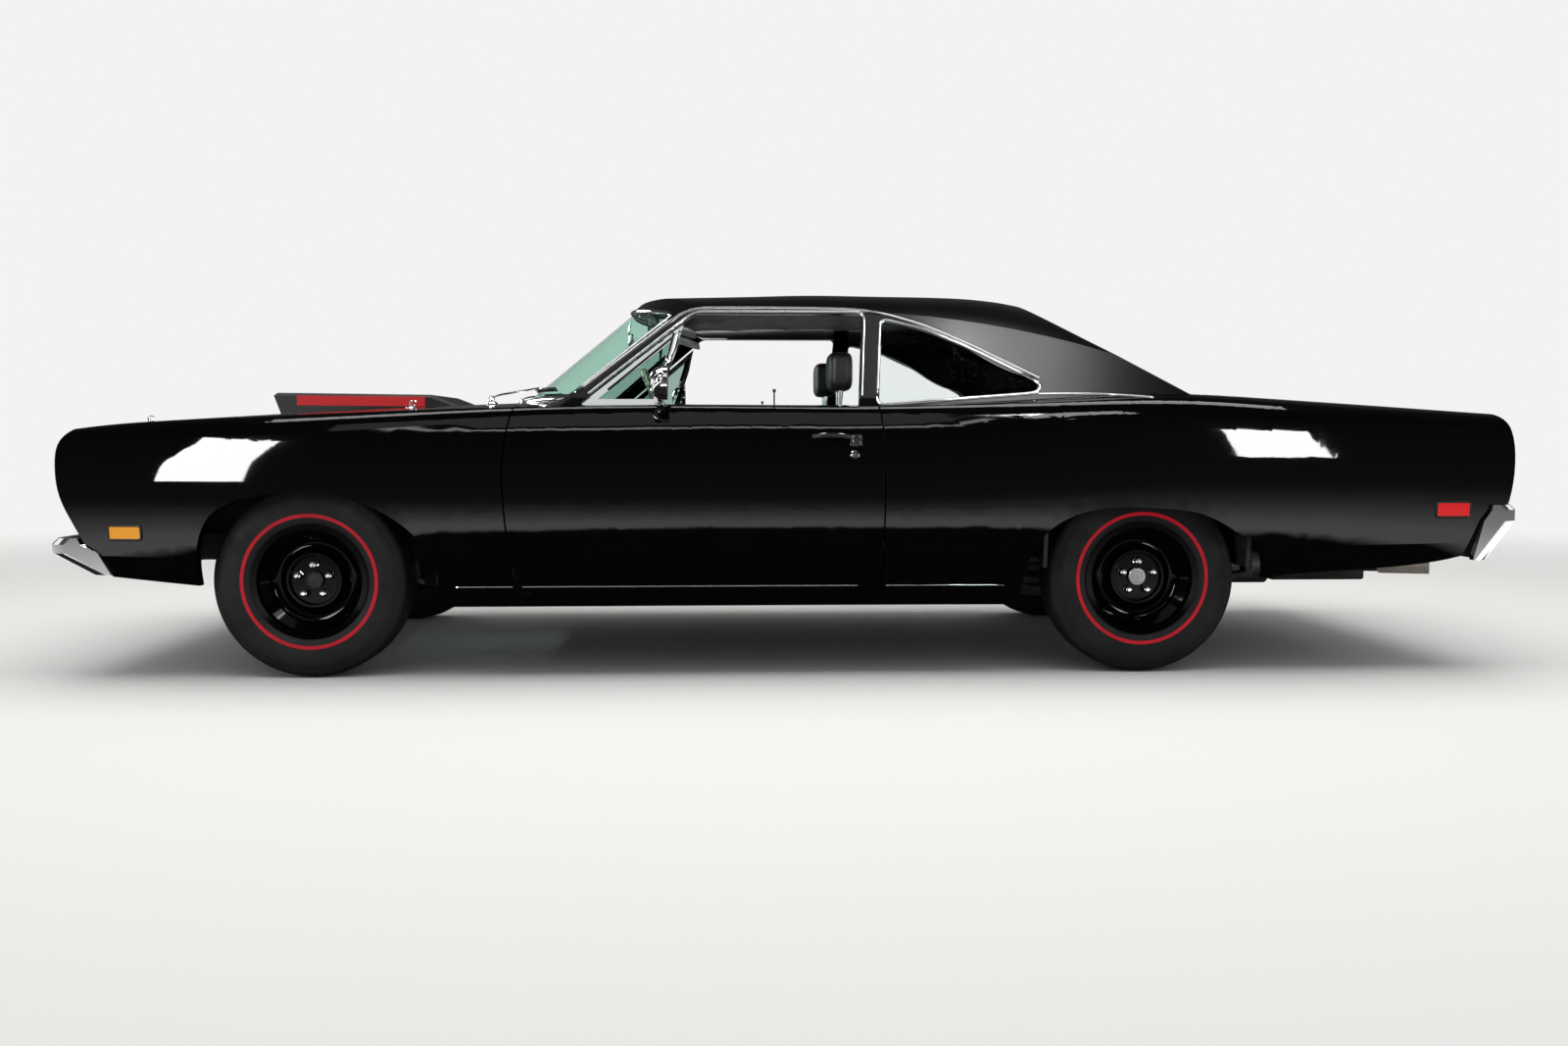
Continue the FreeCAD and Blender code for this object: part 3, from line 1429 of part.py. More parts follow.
def build_marker(outer, share, height, span, rise):
    """A side lamp that stands a little proud of the skin, and the pocket it sits in."""
    lamp = skin_band(marker_block(share, height, span, rise, 0), outer, marker_proud, marker_depth)
    pocket = skin_band(marker_block(share, height, span, rise, seat_gap), outer, marker_proud * 2,
                       marker_depth + seat_gap)
    return lamp, pocket


def save(name, shape):
    """Writes a piece as a STEP file."""
    solids = shape.Solids
    result = solids[0] if len(solids) == 1 else Part.makeCompound(solids)
    result.exportStep("parts/" + name + ".step")
    print(name, len(solids), result.isValid())


def main():
    """Builds every piece and writes it to its own file."""
    os.makedirs("parts", exist_ok=True)
    outer, inner, shell = build_skin()
    body, hood, deck_lid, cowl, rear_deck, fender, quarter = build_panels(shell)
    amber, amber_pocket = build_marker(outer, *front_marker)
    red, red_pocket = build_marker(outer, *rear_marker)
    fender = fender.cut(amber_pocket)
    quarter = quarter.cut(red_pocket)
    save("hood", hood)
    save("deck_lid", deck_lid)
    save("cowl", cowl)
    save("rear_deck", rear_deck)
    save("fender_left", fender)
    save("fender_right", mirrored(fender))
    save("quarter_left", quarter)
    save("quarter_right", mirrored(quarter))
    save("hood_scoop", build_scoop(outer))

    door = build_door(outer)
    save("door_left", door)
    save("door_right", mirrored(door))
    frame, vent = build_door_trim()
    mirror = build_mirror()
    save("window_trim_left", Part.makeCompound([frame, mirror]))
    save("window_trim_right", mirrored(Part.makeCompound([frame, mirror])))
    save("vent_glass_left", vent)
    save("vent_glass_right", mirrored(vent))

    roof, windshield, rear_glass = build_cabin(outer)
    save("roof", roof)
    save("windshield", windshield)
    save("rear_glass", Part.makeCompound(rear_glass))

    floor = build_floor(inner)
    save("underbody", floor)
    save("front_structure", build_front_structure())
    save("engine", build_engine())
    grille, lamps = build_grille(inner, body)
    save("grille", grille)
    save("head_lamps", lamps)
    tail, tail_lamps = build_tail(inner, body)
    save("tail_panel", tail)
    save("red_lamps", Part.makeCompound(tail_lamps + [red, mirrored(red)]))
    save("amber_lamps", both(amber))
    save("front_valance", build_valance(inner))
    kept_clear = skin_solid(-seat_gap, -seat_gap, seat_gap).common(body)
    tip = overall_length / 2
    front_bar = build_bumper(front_bumper_levels, front_bumper_half, -tip, -1, kept_clear)
    rear_bar = build_bumper(rear_bumper_levels, rear_bumper_half, tip, 1, kept_clear)
    front_irons = bumper_irons(-tip + bumper_wall, place(apron_front_share) - seat_gap, front_iron_low)
    rear_iron_low = trunk_low_height + floor_thickness + seat_gap
    rear_irons = bumper_irons(place(trunk_end_share) - iron_lap, tip - bumper_wall * 2, rear_iron_low)
    save("front_bumper", front_bar.fuse(front_irons))
    save("rear_bumper", rear_bar.fuse(rear_irons))

    names = ("front", "rear")
    for name, x, track in zip(names, (front_axle_x, rear_axle_x), (track_front, track_rear)):
        for side, sign in (("left", -1), ("right", 1)):
            y = sign * track / 2
            save("tyre_" + name + "_" + side, build_tyre(x, y))
            wheel, drum_y = build_wheel(x, y, sign)
            save("wheel_" + name + "_" + side, wheel)
            if side == "left" and name == "front":
                knuckle = build_knuckle(drum_y)
                save("knuckle_left", knuckle)
                save("knuckle_right", mirrored(knuckle))
            if side == "left" and name == "rear":
                save("rear_axle", build_rear_axle(drum_y))
    save("leaf_springs", build_springs())
    save("exhaust", build_exhaust())
    save("fuel_tank", build_tank())

    steering, hub_start = build_steering_wheel()
    save("steering_wheel", steering)
    save("steering_column", build_column(hub_start, column_radius))
    save("dashboard", build_dash().cut(build_column(hub_start, column_radius + seat_gap)))
    save("front_seat", build_front_seat())
    save("rear_seat", build_rear_seat())


main()
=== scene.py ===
import bpy
import bmesh
import math
import numpy as np
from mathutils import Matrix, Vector
from mathutils.bvhtree import BVHTree


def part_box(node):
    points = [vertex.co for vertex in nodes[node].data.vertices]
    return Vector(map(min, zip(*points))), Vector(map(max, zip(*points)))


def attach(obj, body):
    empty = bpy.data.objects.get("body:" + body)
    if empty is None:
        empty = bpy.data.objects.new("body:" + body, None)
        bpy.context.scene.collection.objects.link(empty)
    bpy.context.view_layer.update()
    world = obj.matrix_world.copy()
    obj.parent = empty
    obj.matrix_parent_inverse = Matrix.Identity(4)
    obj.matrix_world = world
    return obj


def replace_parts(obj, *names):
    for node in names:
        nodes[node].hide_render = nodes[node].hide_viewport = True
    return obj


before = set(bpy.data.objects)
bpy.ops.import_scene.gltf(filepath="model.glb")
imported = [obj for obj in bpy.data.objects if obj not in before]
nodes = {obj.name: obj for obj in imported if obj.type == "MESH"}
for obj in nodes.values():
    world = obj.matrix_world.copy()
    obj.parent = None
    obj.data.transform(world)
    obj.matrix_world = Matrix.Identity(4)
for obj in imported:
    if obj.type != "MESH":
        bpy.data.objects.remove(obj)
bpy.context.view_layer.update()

# Shapes, each a pair of points and faces


def shown(name, shape, materials, body="root", sharp=35.0, marks=None):
    """A mesh piece from a shape, shaded smooth up to an angle, which rides on a body of the car.
    """
    points, faces = shape
    if not isinstance(materials, (list, tuple)):
        materials = [materials]
    mesh = bpy.data.meshes.new(name)
    mesh.from_pydata(np.asarray(points, float).reshape(-1, 3).tolist(), [], [list(face) for face in faces])
    for material in materials:
        mesh.materials.append(material)
    mesh.polygons.foreach_set("use_smooth", np.ones(len(mesh.polygons), bool))
    if marks is not None:
        mesh.polygons.foreach_set("material_index", np.asarray(marks, np.int32))
    work = bmesh.new()
    work.from_mesh(mesh)
    bmesh.ops.remove_doubles(work, verts=work.verts, dist=1e-6)
    bmesh.ops.dissolve_degenerate(work, edges=work.edges, dist=1e-7)
    work.to_mesh(mesh)
    work.free()
    mesh.validate()
    mesh.update()
    mesh.set_sharp_from_angle(angle=math.radians(sharp))
    piece = bpy.data.objects.new(name, mesh)
    bpy.context.scene.collection.objects.link(piece)
    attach(piece, body)
    return piece


def joined(shapes):
    """Several shapes as one."""
    points, faces, start = [], [], 0
    for some, loops in shapes:
        some = np.asarray(some, float).reshape(-1, 3)
        points.append(some)
        faces.extend([start + int(i) for i in loop] for loop in loops)
        start += len(some)
    return np.concatenate(points), faces


def mirrored(shape):
    """A shape's mirror image on the car's other side."""
    points, faces = shape
    return np.asarray(points, float).reshape(-1, 3) * (1, -1, 1), [list(face)[::-1] for face in faces]


def both_sides(shapes):
    """Shapes of the car's left and their mirror images, as one shape."""
    return joined(shapes + [mirrored(shape) for shape in shapes])


def paired(name, shape, material, body="root", sharp=35.0):
    """A piece on the car's left and its mirror image on the right. {} in the body's name is the side."""
    return [shown(f"{name}_{side}", form, material, body.format(side), sharp)
            for side, form in (("left", shape), ("right", mirrored(shape)))]


def grid_faces(rows, columns, around=False):
    """Quads between neighbours of a grid of points. Around joins the last row to the first."""
    i = np.arange(rows if around else rows - 1)[:, None]
    j = np.arange(columns - 1)[None, :]
    a = i * columns + j
    b = (i + 1) % rows * columns + j
    return np.stack([a, b, b + 1, a + 1], axis=-1).reshape(-1, 4)


def unit(vectors):
    """Vectors divided by their lengths."""
    vectors = np.asarray(vectors, float)
    return vectors / np.linalg.norm(vectors, axis=-1, keepdims=True)


def swept(path, lean, section, loop=False):
    """A closed section of (across, out) pairs carried along a path.

    The point is path + across (out x tangent) + out, where out is lean made square to the tangent.
    """
    path = np.asarray(path, float)
    section = np.asarray(section, float)
    lean = np.broadcast_to(np.asarray(lean, float), path.shape)
    tangent = np.roll(path, -1, 0) - np.roll(path, 1, 0) if loop else np.gradient(path, axis=0)
    tangent = unit(tangent)
    out = unit(lean - (lean * tangent).sum(-1, keepdims=True) * tangent)
    side = np.cross(out, tangent)
    across = section[None, :, :1]
    grid = path[:, None] + across * side[:, None] + section[None, :, 1:] * out[:, None]
    rows, columns = len(path), len(section)
    i = np.arange(rows if loop else rows - 1)[:, None]
    j = np.arange(columns)[None, :]
    k = (j + 1) % columns
    n = (i + 1) % rows
    faces = np.stack([i * columns + j, i * columns + k, n * columns + k, n * columns + j], axis=-1)
    faces = faces.reshape(-1, 4).tolist()
    if not loop:
        faces.append(list(range(columns))[::-1])
        faces.append([(rows - 1) * columns + c for c in range(columns)])
    return grid, faces


bead_foot = 0.002
bead_steps = 9


def half_round(width, height):
    """The section of a half-round bead: a half ellipse on a flat foot that sinks into what carries it."""
    a = np.linspace(0, np.pi, bead_steps)
    arch = np.stack([width / 2 * np.cos(a), height * np.sin(a)], axis=-1)
    return np.concatenate([[(width / 2, -bead_foot)], arch, [(-width / 2, -bead_foot)]])


def round_bar(radius, steps=12):
    """A round section."""
    a = np.linspace(0, 2 * np.pi, steps, endpoint=False)
    return np.stack([radius * np.cos(a), radius * np.sin(a)], axis=-1)


def flat_bar(width, height, soft=0.25):
    """A flat section with cut corners."""
    w, h = width / 2, height / 2
    c = min(w, h) * soft * 2
    return np.array([(w, -h + c), (w, h - c), (w - c, h), (c - w, h), (-w, h - c), (-w, c - h), (c - w, -h),
                     (w - c, -h)])


def stamped(middle, axis, profile, half=(1, 1), power=2.0, segments=64, up=(0, 0, 1)):
    """A profile of (share, height) pairs carried round |x/a|^n + |y/b|^n = 1 in a plate's plane."""
    axis = unit(axis)
    up = unit(np.asarray(up, float) - np.dot(up, axis) * axis)
    across = np.cross(up, axis)
    share, height = np.asarray(profile, float).T
    a = np.linspace(0, 2 * np.pi, segments, endpoint=False)[:, None, None]
    x = half[0] * np.sign(np.cos(a)) * np.abs(np.cos(a)) ** (2 / power)
    y = half[1] * np.sign(np.sin(a)) * np.abs(np.sin(a)) ** (2 / power)
    share = share[None, :, None]
    grid = np.asarray(middle, float) + share * (x * across + y * up) + height[None, :, None] * axis
    return grid, grid_faces(segments, grid.shape[1], around=True)


def block(low, high, power, cuts, shape=None):
    """A crowned closed block: a cube's surface drawn in to |x|^n + |y|^n + |z|^n = 1, then fitted to a box.

    A shape function may then move its points, which it gets with the same points from -1 to 1.
    """
    t = np.linspace(-1, 1, cuts)
    a, b = np.meshgrid(t, t, indexing="ij")
    one = np.ones_like(a)
    sides = [(one, a, b), (-one, b, a), (b, one, a), (a, -one, b), (a, b, one), (b, a, -one)]
    cube = np.concatenate([np.stack(side, -1).reshape(-1, 3) for side in sides])
    cube = cube / (np.abs(cube) ** power).sum(-1, keepdims=True) ** (1 / power)
    low, high = np.asarray(low, float), np.asarray(high, float)
    points = (low + high) / 2 + cube * (high - low) / 2
    if shape:
        points = shape(points, cube)
    faces = np.concatenate([grid_faces(cuts, cuts) + k * cuts * cuts for k in range(len(sides))])
    return points, faces


def evenly(path, step):
    """Points at even steps along a path."""
    path = np.asarray(path, float)
    along = np.concatenate([[0], np.cumsum(np.linalg.norm(np.diff(path, axis=0), axis=1))])
    at = np.linspace(0, along[-1], max(int(along[-1] / step), 2) + 1)
    return np.stack([np.interp(at, along, path[:, k]) for k in range(path.shape[1])], axis=-1)


def grown(outline, gap):
    """A closed outline moved out by a gap: each corner goes along the sum of its two sides' normals."""
    outline = np.asarray(outline, float)
    side = unit(np.roll(outline, -1, 0) - outline)
    normal = np.stack([side[:, 1], -side[:, 0]], axis=-1)
    before = np.roll(normal, 1, 0)
    x, z = outline.T
    turn = np.sign((x * np.roll(z, -1) - np.roll(x, -1) * z).sum())
    reach = 1 + (normal * before).sum(-1, keepdims=True)
    return outline + turn * gap * (normal + before) / reach


def surface(*names):
    """The skin of some nodes, for laying lines on it."""
    points, faces = [], []
    for name in names:
        mesh = nodes[name].data
        start = len(points)
        points.extend(vertex.co.copy() for vertex in mesh.vertices)
        faces.extend([start + i for i in loop.vertices] for loop in mesh.polygons)
    return BVHTree.FromPolygons(points, faces)


def laid(skin, points, aim, reach=3.0):
    """Moves points along an aim, from well outside, to where they meet a skin. Gives places and normals."""
    aim = Vector(aim).normalized()
    places, normals = [], []
    for point in points:
        place, normal, _, _ = skin.ray_cast(Vector(point) - aim * reach, aim)
        if place is None:
            place, normal, _, _ = skin.find_nearest(Vector(point))
        if normal.dot(aim) > 0:
            normal = -normal
        places.append(tuple(place))
        normals.append(tuple(normal))
    return np.array(places), np.array(normals)


def smooth(values, rounds, loop):
    """Evens out a row of vectors: each becomes the middle of itself and its neighbours."""
    values = np.asarray(values, float)
    for _ in range(rounds):
        inner = (np.roll(values, 1, 0) + 2 * values + np.roll(values, -1, 0)) / 4
        if not loop:
            inner[0], inner[-1] = values[0], values[-1]
        values = inner
    return values


place_rounds = 3
normal_rounds = 12
corner_steps = 6


def beaded(skin, line, aim, section, step=0.012, loop=False):
    """A bead laid on a skin along a line of points, with its places and its lean evened out."""
    line = evenly(np.concatenate([line, line[:1]]) if loop else line, step)
    if loop:
        line = line[:-1]
    places, normals = laid(skin, line, aim)
    return swept(smooth(places, place_rounds, loop), smooth(normals, normal_rounds, loop), section, loop)


def from_side(points, y=-0.8):
    """(x, z) pairs of the side view as points."""
    points = np.asarray(points, float)
    return np.stack([points[:, 0], np.full(len(points), y), points[:, 1]], axis=-1)


def from_front(points, x=0.0):
    """(y, z) pairs of the front view as points."""
    points = np.asarray(points, float)
    return np.stack([np.full(len(points), x), points[:, 0], points[:, 1]], axis=-1)


def rounded(corners, radius):
    """A path through corners, each rounded by a quadratic curve that starts and ends a radius away."""
    corners = np.asarray(corners, float)
    path = [corners[0]]
    t = np.linspace(0, 1, corner_steps)[:, None]
    for before, corner, after in zip(corners[:-2], corners[1:-1], corners[2:]):
        reach = min(radius, np.linalg.norm(corner - before) / 2, np.linalg.norm(after - corner) / 2)
        start = corner + (before - corner) * reach / np.linalg.norm(before - corner)
        end = corner + (after - corner) * reach / np.linalg.norm(after - corner)
        path.extend((1 - t) ** 2 * start + 2 * t * (1 - t) * corner + t ** 2 * end)
    path.append(corners[-1])
    return np.array(path)


# Finishes


def node(owner, kind, inputs=(), **settings):
    """A new node in a material or the world, with its settings.

    Each input is a number, another node's output, or a node, which gives its first output.
    """
    new = owner.node_tree.nodes.new("ShaderNode" + kind)
    for setting, value in settings.items():
        setattr(new, setting, value)
    for socket, value in dict(inputs).items():
        if isinstance(value, bpy.types.Node):
            value = value.outputs[0]
        if isinstance(value, bpy.types.NodeSocket):
            owner.node_tree.links.new(value, new.inputs[socket])
        else:
            new.inputs[socket].default_value = value
    return new


def metres(material):
    """The piece's own coordinates, in metres."""
    return node(material, "TexCoord").outputs["Object"]


def pattern(material, scale, detail, stretch=(1, 1, 1)):
    """A noise on the piece's own metres, stretched along the axes."""
    place = node(material, "Mapping", {"Vector": metres(material), "Scale": stretch})
    return node(material, "TexNoise", {"Vector": place, "Scale": scale, "Detail": detail})


def ribs(material, scale, across):
    """A wave with its crests across an axis."""
    wave = node(material, "TexWave", {"Vector": metres(material), "Scale": scale}, bands_direction=across)
    return wave.outputs["Fac"]


def ramp(material, factor, stops):
    """A ramp of (place, colour) stops read by a factor."""
    new = node(material, "ValToRGB", {"Fac": factor})
    elements = new.color_ramp.elements
    for i in (0, -1):
        elements[i].position = stops[i][0]
        elements[i].color = (*stops[i][1], 1)
    for place, color in stops[1:-1]:
        elements.new(place).color = (*color, 1)
    return new


def spread(material, factor, low, high):
    """A factor carried from its middle range onto low to high."""
    return node(material, "MapRange", {"Value": factor, "From Min": 0.3, "From Max": 0.7, "To Min": low,
                                       "To Max": high})


def feed(material, socket, source):
    """Links a node's first output to a socket of the material's shader."""
    shader = material.node_tree.nodes["Principled BSDF"]
    material.node_tree.links.new(source.outputs[0], shader.inputs[socket])


def relief(material, height, strength, depth):
    """Bumps the surface by a height."""
    bump = node(material, "Bump", {"Height": height, "Strength": strength, "Distance": depth})
    feed(material, "Normal", bump)


def finish(name, color, rough, metallic=0.0, polish=None, tones=None, bump=None, **sockets):
    """A new material with its shader's own numbers, and with noises that vary them.

    polish is the scale, detail, lowest and highest value of the roughness noise. tones is the scale, detail
    and ramp of the colour noise. Either ends with its noise's stretch where it has one. bump is the scale and
    detail of the height noise, its strength and its depth in metres.
    """
    material = bpy.data.materials.new(name)
    material.use_nodes = True
    shader = material.node_tree.nodes["Principled BSDF"]
    values = {"Base Color": (*color, 1), "Roughness": rough, "Metallic": metallic, **sockets}
    for socket, value in values.items():
        shader.inputs[socket.replace("_", " ")].default_value = value
    if polish:
        scale, detail, low, high, *stretch = polish
        feed(material, "Roughness", spread(material, pattern(material, scale, detail, *stretch), low, high))
    if tones:
        scale, detail, stops, *stretch = tones
        feed(material, "Base Color", ramp(material, pattern(material, scale, detail, *stretch), stops))
    if bump:
        scale, detail, strength, depth = bump
        relief(material, pattern(material, scale, detail), strength, depth)
    return material


def window_glass(name, color):
    """Thin glass that shows what is behind it, tinted."""
    return finish(name, color, 0.0, polish=(6, 4, 0.0, 0.015), Transmission_Weight=1.0, IOR=1.02,
                  Specular_IOR_Level=0.5)


def lens(name, color):
    """A moulded lamp lens, dyed through."""
    return finish(name, color, 0.08, polish=(30, 3, 0.05, 0.12), Specular_IOR_Level=0.3)


def steel(name, color, low, high, metallic=1.0):
    """Bare or aluminized steel with long brushed streaks."""
    return finish(name, color, low, metallic, polish=(30, 6, low, high, (0.2, 1, 1)),
                  tones=(10, 7, [(0.3, tuple(0.75 * c for c in color)), (0.7, color)]))


# Deep black under clear coat, with faint polish haze and orange peel, and the roof's, on which lights spread
paint = finish("gloss_black_paint", (0.0014, 0.0014, 0.0017), 0.04, polish=(2.5, 6, 0.02, 0.05),
               bump=(160, 2, 0.015, 0.0004), Specular_IOR_Level=0.32)
roof_paint = finish("soft_black_paint", (0.0016, 0.0016, 0.002), 0.19, polish=(2.5, 6, 0.17, 0.21),
                    bump=(160, 2, 0.015, 0.0004), Specular_IOR_Level=0.36)
# The wheels' black enamel, and the scoop's satin
wheel_paint = finish("wheel_black_paint", (0.0014, 0.0014, 0.0014), 0.07, polish=(9, 6, 0.05, 0.1),
                     Specular_IOR_Level=0.1)
scoop_black = finish("satin_black", (0.012, 0.012, 0.012), 0.38, polish=(9, 6, 0.32, 0.46),
                     bump=(900, 2, 0.06, 0.0004), Specular_IOR_Level=0.3)
bright = finish("chrome", (0.78, 0.79, 0.8), 0.05, 1.0, polish=(14, 7, 0.03, 0.09))
green_glass = window_glass("green_glass", (0.6, 0.78, 0.71))
# The vent glass is tinted darker than the other glass: painted reflection of the dark dash that the
# windshield behind it shows
vent_green_painted_reflection = window_glass("vent_green_painted_reflection", (0.32, 0.45, 0.41))
pale_glass = window_glass("pale_glass", (0.93, 0.965, 0.95))
red_lens = lens("red_lens", (0.86, 0.006, 0.008))
amber_lens = lens("amber_lens", (1.0, 0.4, 0.004))
# Dark rubber, greyer in patches where it is dusty, and the red rubber of the tyres' line
black_rubber = finish("rubber", (0.01, 0.01, 0.01), 0.7, polish=(22, 5, 0.6, 0.8),
                      tones=(7, 8, [(0.3, (0.007, 0.007, 0.007)), (0.7, (0.015, 0.015, 0.0145))]),
                      bump=(700, 3, 0.12, 0.0006), Specular_IOR_Level=0.2)
red_line = finish("red_rubber", (0.62, 0.01, 0.025), 0.7,
                  tones=(12, 6, [(0.3, (0.56, 0.008, 0.022)), (0.7, (0.68, 0.012, 0.03))]),
                  bump=(500, 3, 0.08, 0.0005), Specular_IOR_Level=0.15)
scoop_red = finish("red_band", (0.88, 0.012, 0.018), 0.55, polish=(60, 4, 0.5, 0.65),
                   bump=(900, 2, 0.05, 0.0003), Specular_IOR_Level=0.2)
# Rough castings, brushed steels and the black of the underside
cast_iron = finish("iron", (0.05, 0.048, 0.045), 0.6, 0.6, polish=(40, 5, 0.5, 0.75),
                   tones=(18, 8, [(0.35, (0.03, 0.03, 0.03)), (0.65, (0.09, 0.085, 0.08))]),
                   bump=(320, 5, 0.3, 0.001))
bare_steel = steel("bare_steel", (0.5, 0.5, 0.49), 0.25, 0.45)
dull_steel = steel("dull_steel", (0.34, 0.33, 0.32), 0.4, 0.65)
# The tips' beige, half-metal colour is partly painted reflection of the pale floor that their undersides
# face, over the steel's own tone
tip_steel_and_painted_reflection = steel("tip_steel_and_painted_reflection", (0.62, 0.57, 0.49), 0.3, 0.45, 0.5)
lamp_silver = steel("lamp_silver", (0.85, 0.85, 0.84), 0.08, 0.2)
chassis_black = finish("underbody_black", (0.014, 0.014, 0.014), 0.55, polish=(12, 7, 0.42, 0.7),
                       bump=(260, 5, 0.25, 0.001))
# The matt near-black disc just inside an exhaust tip: soot, and painted shade that stands in for the dark
# inside of the pipe
pipe_soot_and_shade = finish("soot", (0.006, 0.006, 0.006), 0.9,
                   tones=(120, 5, [(0.3, (0.003, 0.003, 0.003)), (0.7, (0.012, 0.011, 0.01))]))
# The steering wheel's pale tan rim, hazed by hands
rim_tan = finish("tan_rim", (0.42, 0.33, 0.22), 0.35, polish=(40, 4, 0.28, 0.42), Coat_Weight=0.4,
                 tones=(25, 6, [(0.3, (0.3, 0.22, 0.13)), (0.7, (0.5, 0.41, 0.29))], (1, 1, 0.4)))
# A grained dash, matt black dials with a faint printed grey, and the white of their needles and marks
dash_plastic = finish("dash_black", (0.012, 0.012, 0.012), 0.5, polish=(20, 4, 0.42, 0.6),
                      bump=(1100, 2, 0.2, 0.0004))
dial_black = finish("gauge_face", (0.02, 0.02, 0.022), 0.6,
                    tones=(400, 2, [(0.3, (0.014, 0.014, 0.015)), (0.7, (0.03, 0.03, 0.032))]))
dial_white = finish("pale_paint", (0.75, 0.74, 0.7), 0.5, polish=(90, 3, 0.4, 0.6))
# Black headliner vinyl with fine pin holes
headliner = finish("headliner_cloth", (0.007, 0.007, 0.0075), 0.7, polish=(14, 4, 0.6, 0.8),
                   bump=(1400, 2, 0.25, 0.0004), Sheen_Weight=0.05)
# Grey visor vinyl with fine ribs across the car, and clear lamp glass with upright flutes
ribbed_grey = finish("visor_grey", (0.62, 0.62, 0.61), 0.55, polish=(20, 4, 0.45, 0.6))
relief(ribbed_grey, ribs(ribbed_grey, 70, "X"), 0.4, 0.0015)
fluted_glass = finish("fluted_glass", (0.95, 0.96, 0.96), 0.02, Transmission_Weight=1.0, IOR=1.3)
relief(fluted_glass, ribs(fluted_glass, 30, "Y"), 0.5, 0.002)
# Black seat vinyl with a fine cell grain
seat_vinyl = finish("vinyl", (0.011, 0.011, 0.012), 0.45, polish=(16, 5, 0.38, 0.55))
relief(seat_vinyl, node(seat_vinyl, "TexVoronoi", {"Vector": metres(seat_vinyl), "Scale": 700}), 0.22, 0.0006)

# The finish of each node, or pair of nodes, that isn't painted gloss black
node_finishes = {
    "roof": roof_paint, "wheel_front": wheel_paint, "wheel_rear": wheel_paint, "hood_scoop": scoop_black,
    "windshield": green_glass, "rear_glass": pale_glass, "vent_glass": vent_green_painted_reflection, "window_trim": bright,
    "underbody": chassis_black, "front_structure": chassis_black, "engine": cast_iron, "grille": scoop_black,
    "head_lamps": lamp_silver, "red_lamps": red_lens, "amber_lamps": amber_lens, "front_bumper": bright,
    "rear_bumper": bright, "rear_axle": cast_iron, "knuckle": cast_iron, "leaf_springs": cast_iron,
    "exhaust": dull_steel, "fuel_tank": chassis_black, "dashboard": dash_plastic,
    "steering_column": dash_plastic, "steering_wheel": dash_plastic, "front_seat": seat_vinyl,
    "rear_seat": seat_vinyl,
}
for name, solid in nodes.items():
    solid.data.materials.clear()
    solid.data.materials.append(node_finishes.get(name.removesuffix("_left").removesuffix("_right"), paint))

# Tyres and wheels

tyre_radius = 0.341
line_radius = 0.2325
line_half = 0.0065
tread_columns = 61
groove_offsets = (-0.05, -0.025, 0.0, 0.025, 0.05)
groove_half = 0.0022
groove_depth = 0.006
zigzags = 70


def tyre_section():
    """Half of the tyre's outline from bead to tread, as (offset, radius), and where the red line lies."""
    side = [(0.066, 0.19), (0.08, 0.196), (0.0875, 0.206), (0.0905, 0.216), (0.0925, line_radius - line_half)]
    line = [(0.0945, line_radius - line_half + 0.0005), (0.0948, line_radius),
            (0.0945, line_radius + line_half - 0.0005), (0.093, line_radius + line_half)]
    upper = [(0.0935, 0.25), (0.0938, 0.262), (0.0932, 0.276), (0.0915, 0.292), (0.09, 0.2925),
             (0.0893, 0.304), (0.0885, 0.305), (0.087, 0.316), (0.082, 0.327), (0.076, 0.3335)]
    return np.array(side + line + upper), len(side) - 1, len(side) + len(line) - 1


def build_tyre(end, side, outward):
    """A tyre: the outline turned round the axle, with a tread of ribs cut by zigzag grooves.

    Across the tread the radius is 341 mm less a crown and a groove that follows w = w0 + a tri(n angle).
    """
    name = f"tyre_{end}_{side}"
    low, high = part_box(name)
    middle = (low + high) / 2
    half, line_start, line_end = tyre_section()
    segments = 420
    a = np.linspace(0, 2 * np.pi, segments, endpoint=False)[:, None]
    edge, shoulder = half[-1]
    w = np.linspace(edge, -edge, tread_columns)[None, 1:-1]
    crown = shoulder + (tyre_radius - shoulder) * (1 - (w / edge) ** 4)
    zigzag = groove_half * (2 / np.pi) * np.arcsin(np.sin(a * zigzags))
    depth = np.zeros((segments, w.shape[1]))
    for offset in groove_offsets:
        depth = np.maximum(depth, np.clip(1.6 - np.abs(w - offset - zigzag) / groove_half, 0, 1))
    near = np.repeat(half[None, :, 1], segments, axis=0)
    r = np.concatenate([near, crown - groove_depth * depth, near[:, ::-1]], axis=1)
    wide = np.concatenate([half[:, 0], w[0], -half[::-1, 0]])[None, :] + 0 * a
    grid = np.stack([middle.x + r * np.cos(a), middle.y + outward * wide, middle.z + r * np.sin(a)], axis=-1)
    faces = grid_faces(segments, r.shape[1], around=True)
    red = np.zeros((segments, r.shape[1] - 1), int)
    red[:, line_start:line_end] = 1
    if outward > 0:
        faces = faces[:, ::-1]
    tyre = shown(name + "_rubber", (grid, faces), [black_rubber, red_line], f"wheel_{end}_{side}", sharp=40,
                 marks=red.ravel())
    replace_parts(tyre, name)


lug_circle = 0.05715
lug_count = 5
valve_circle = 0.152


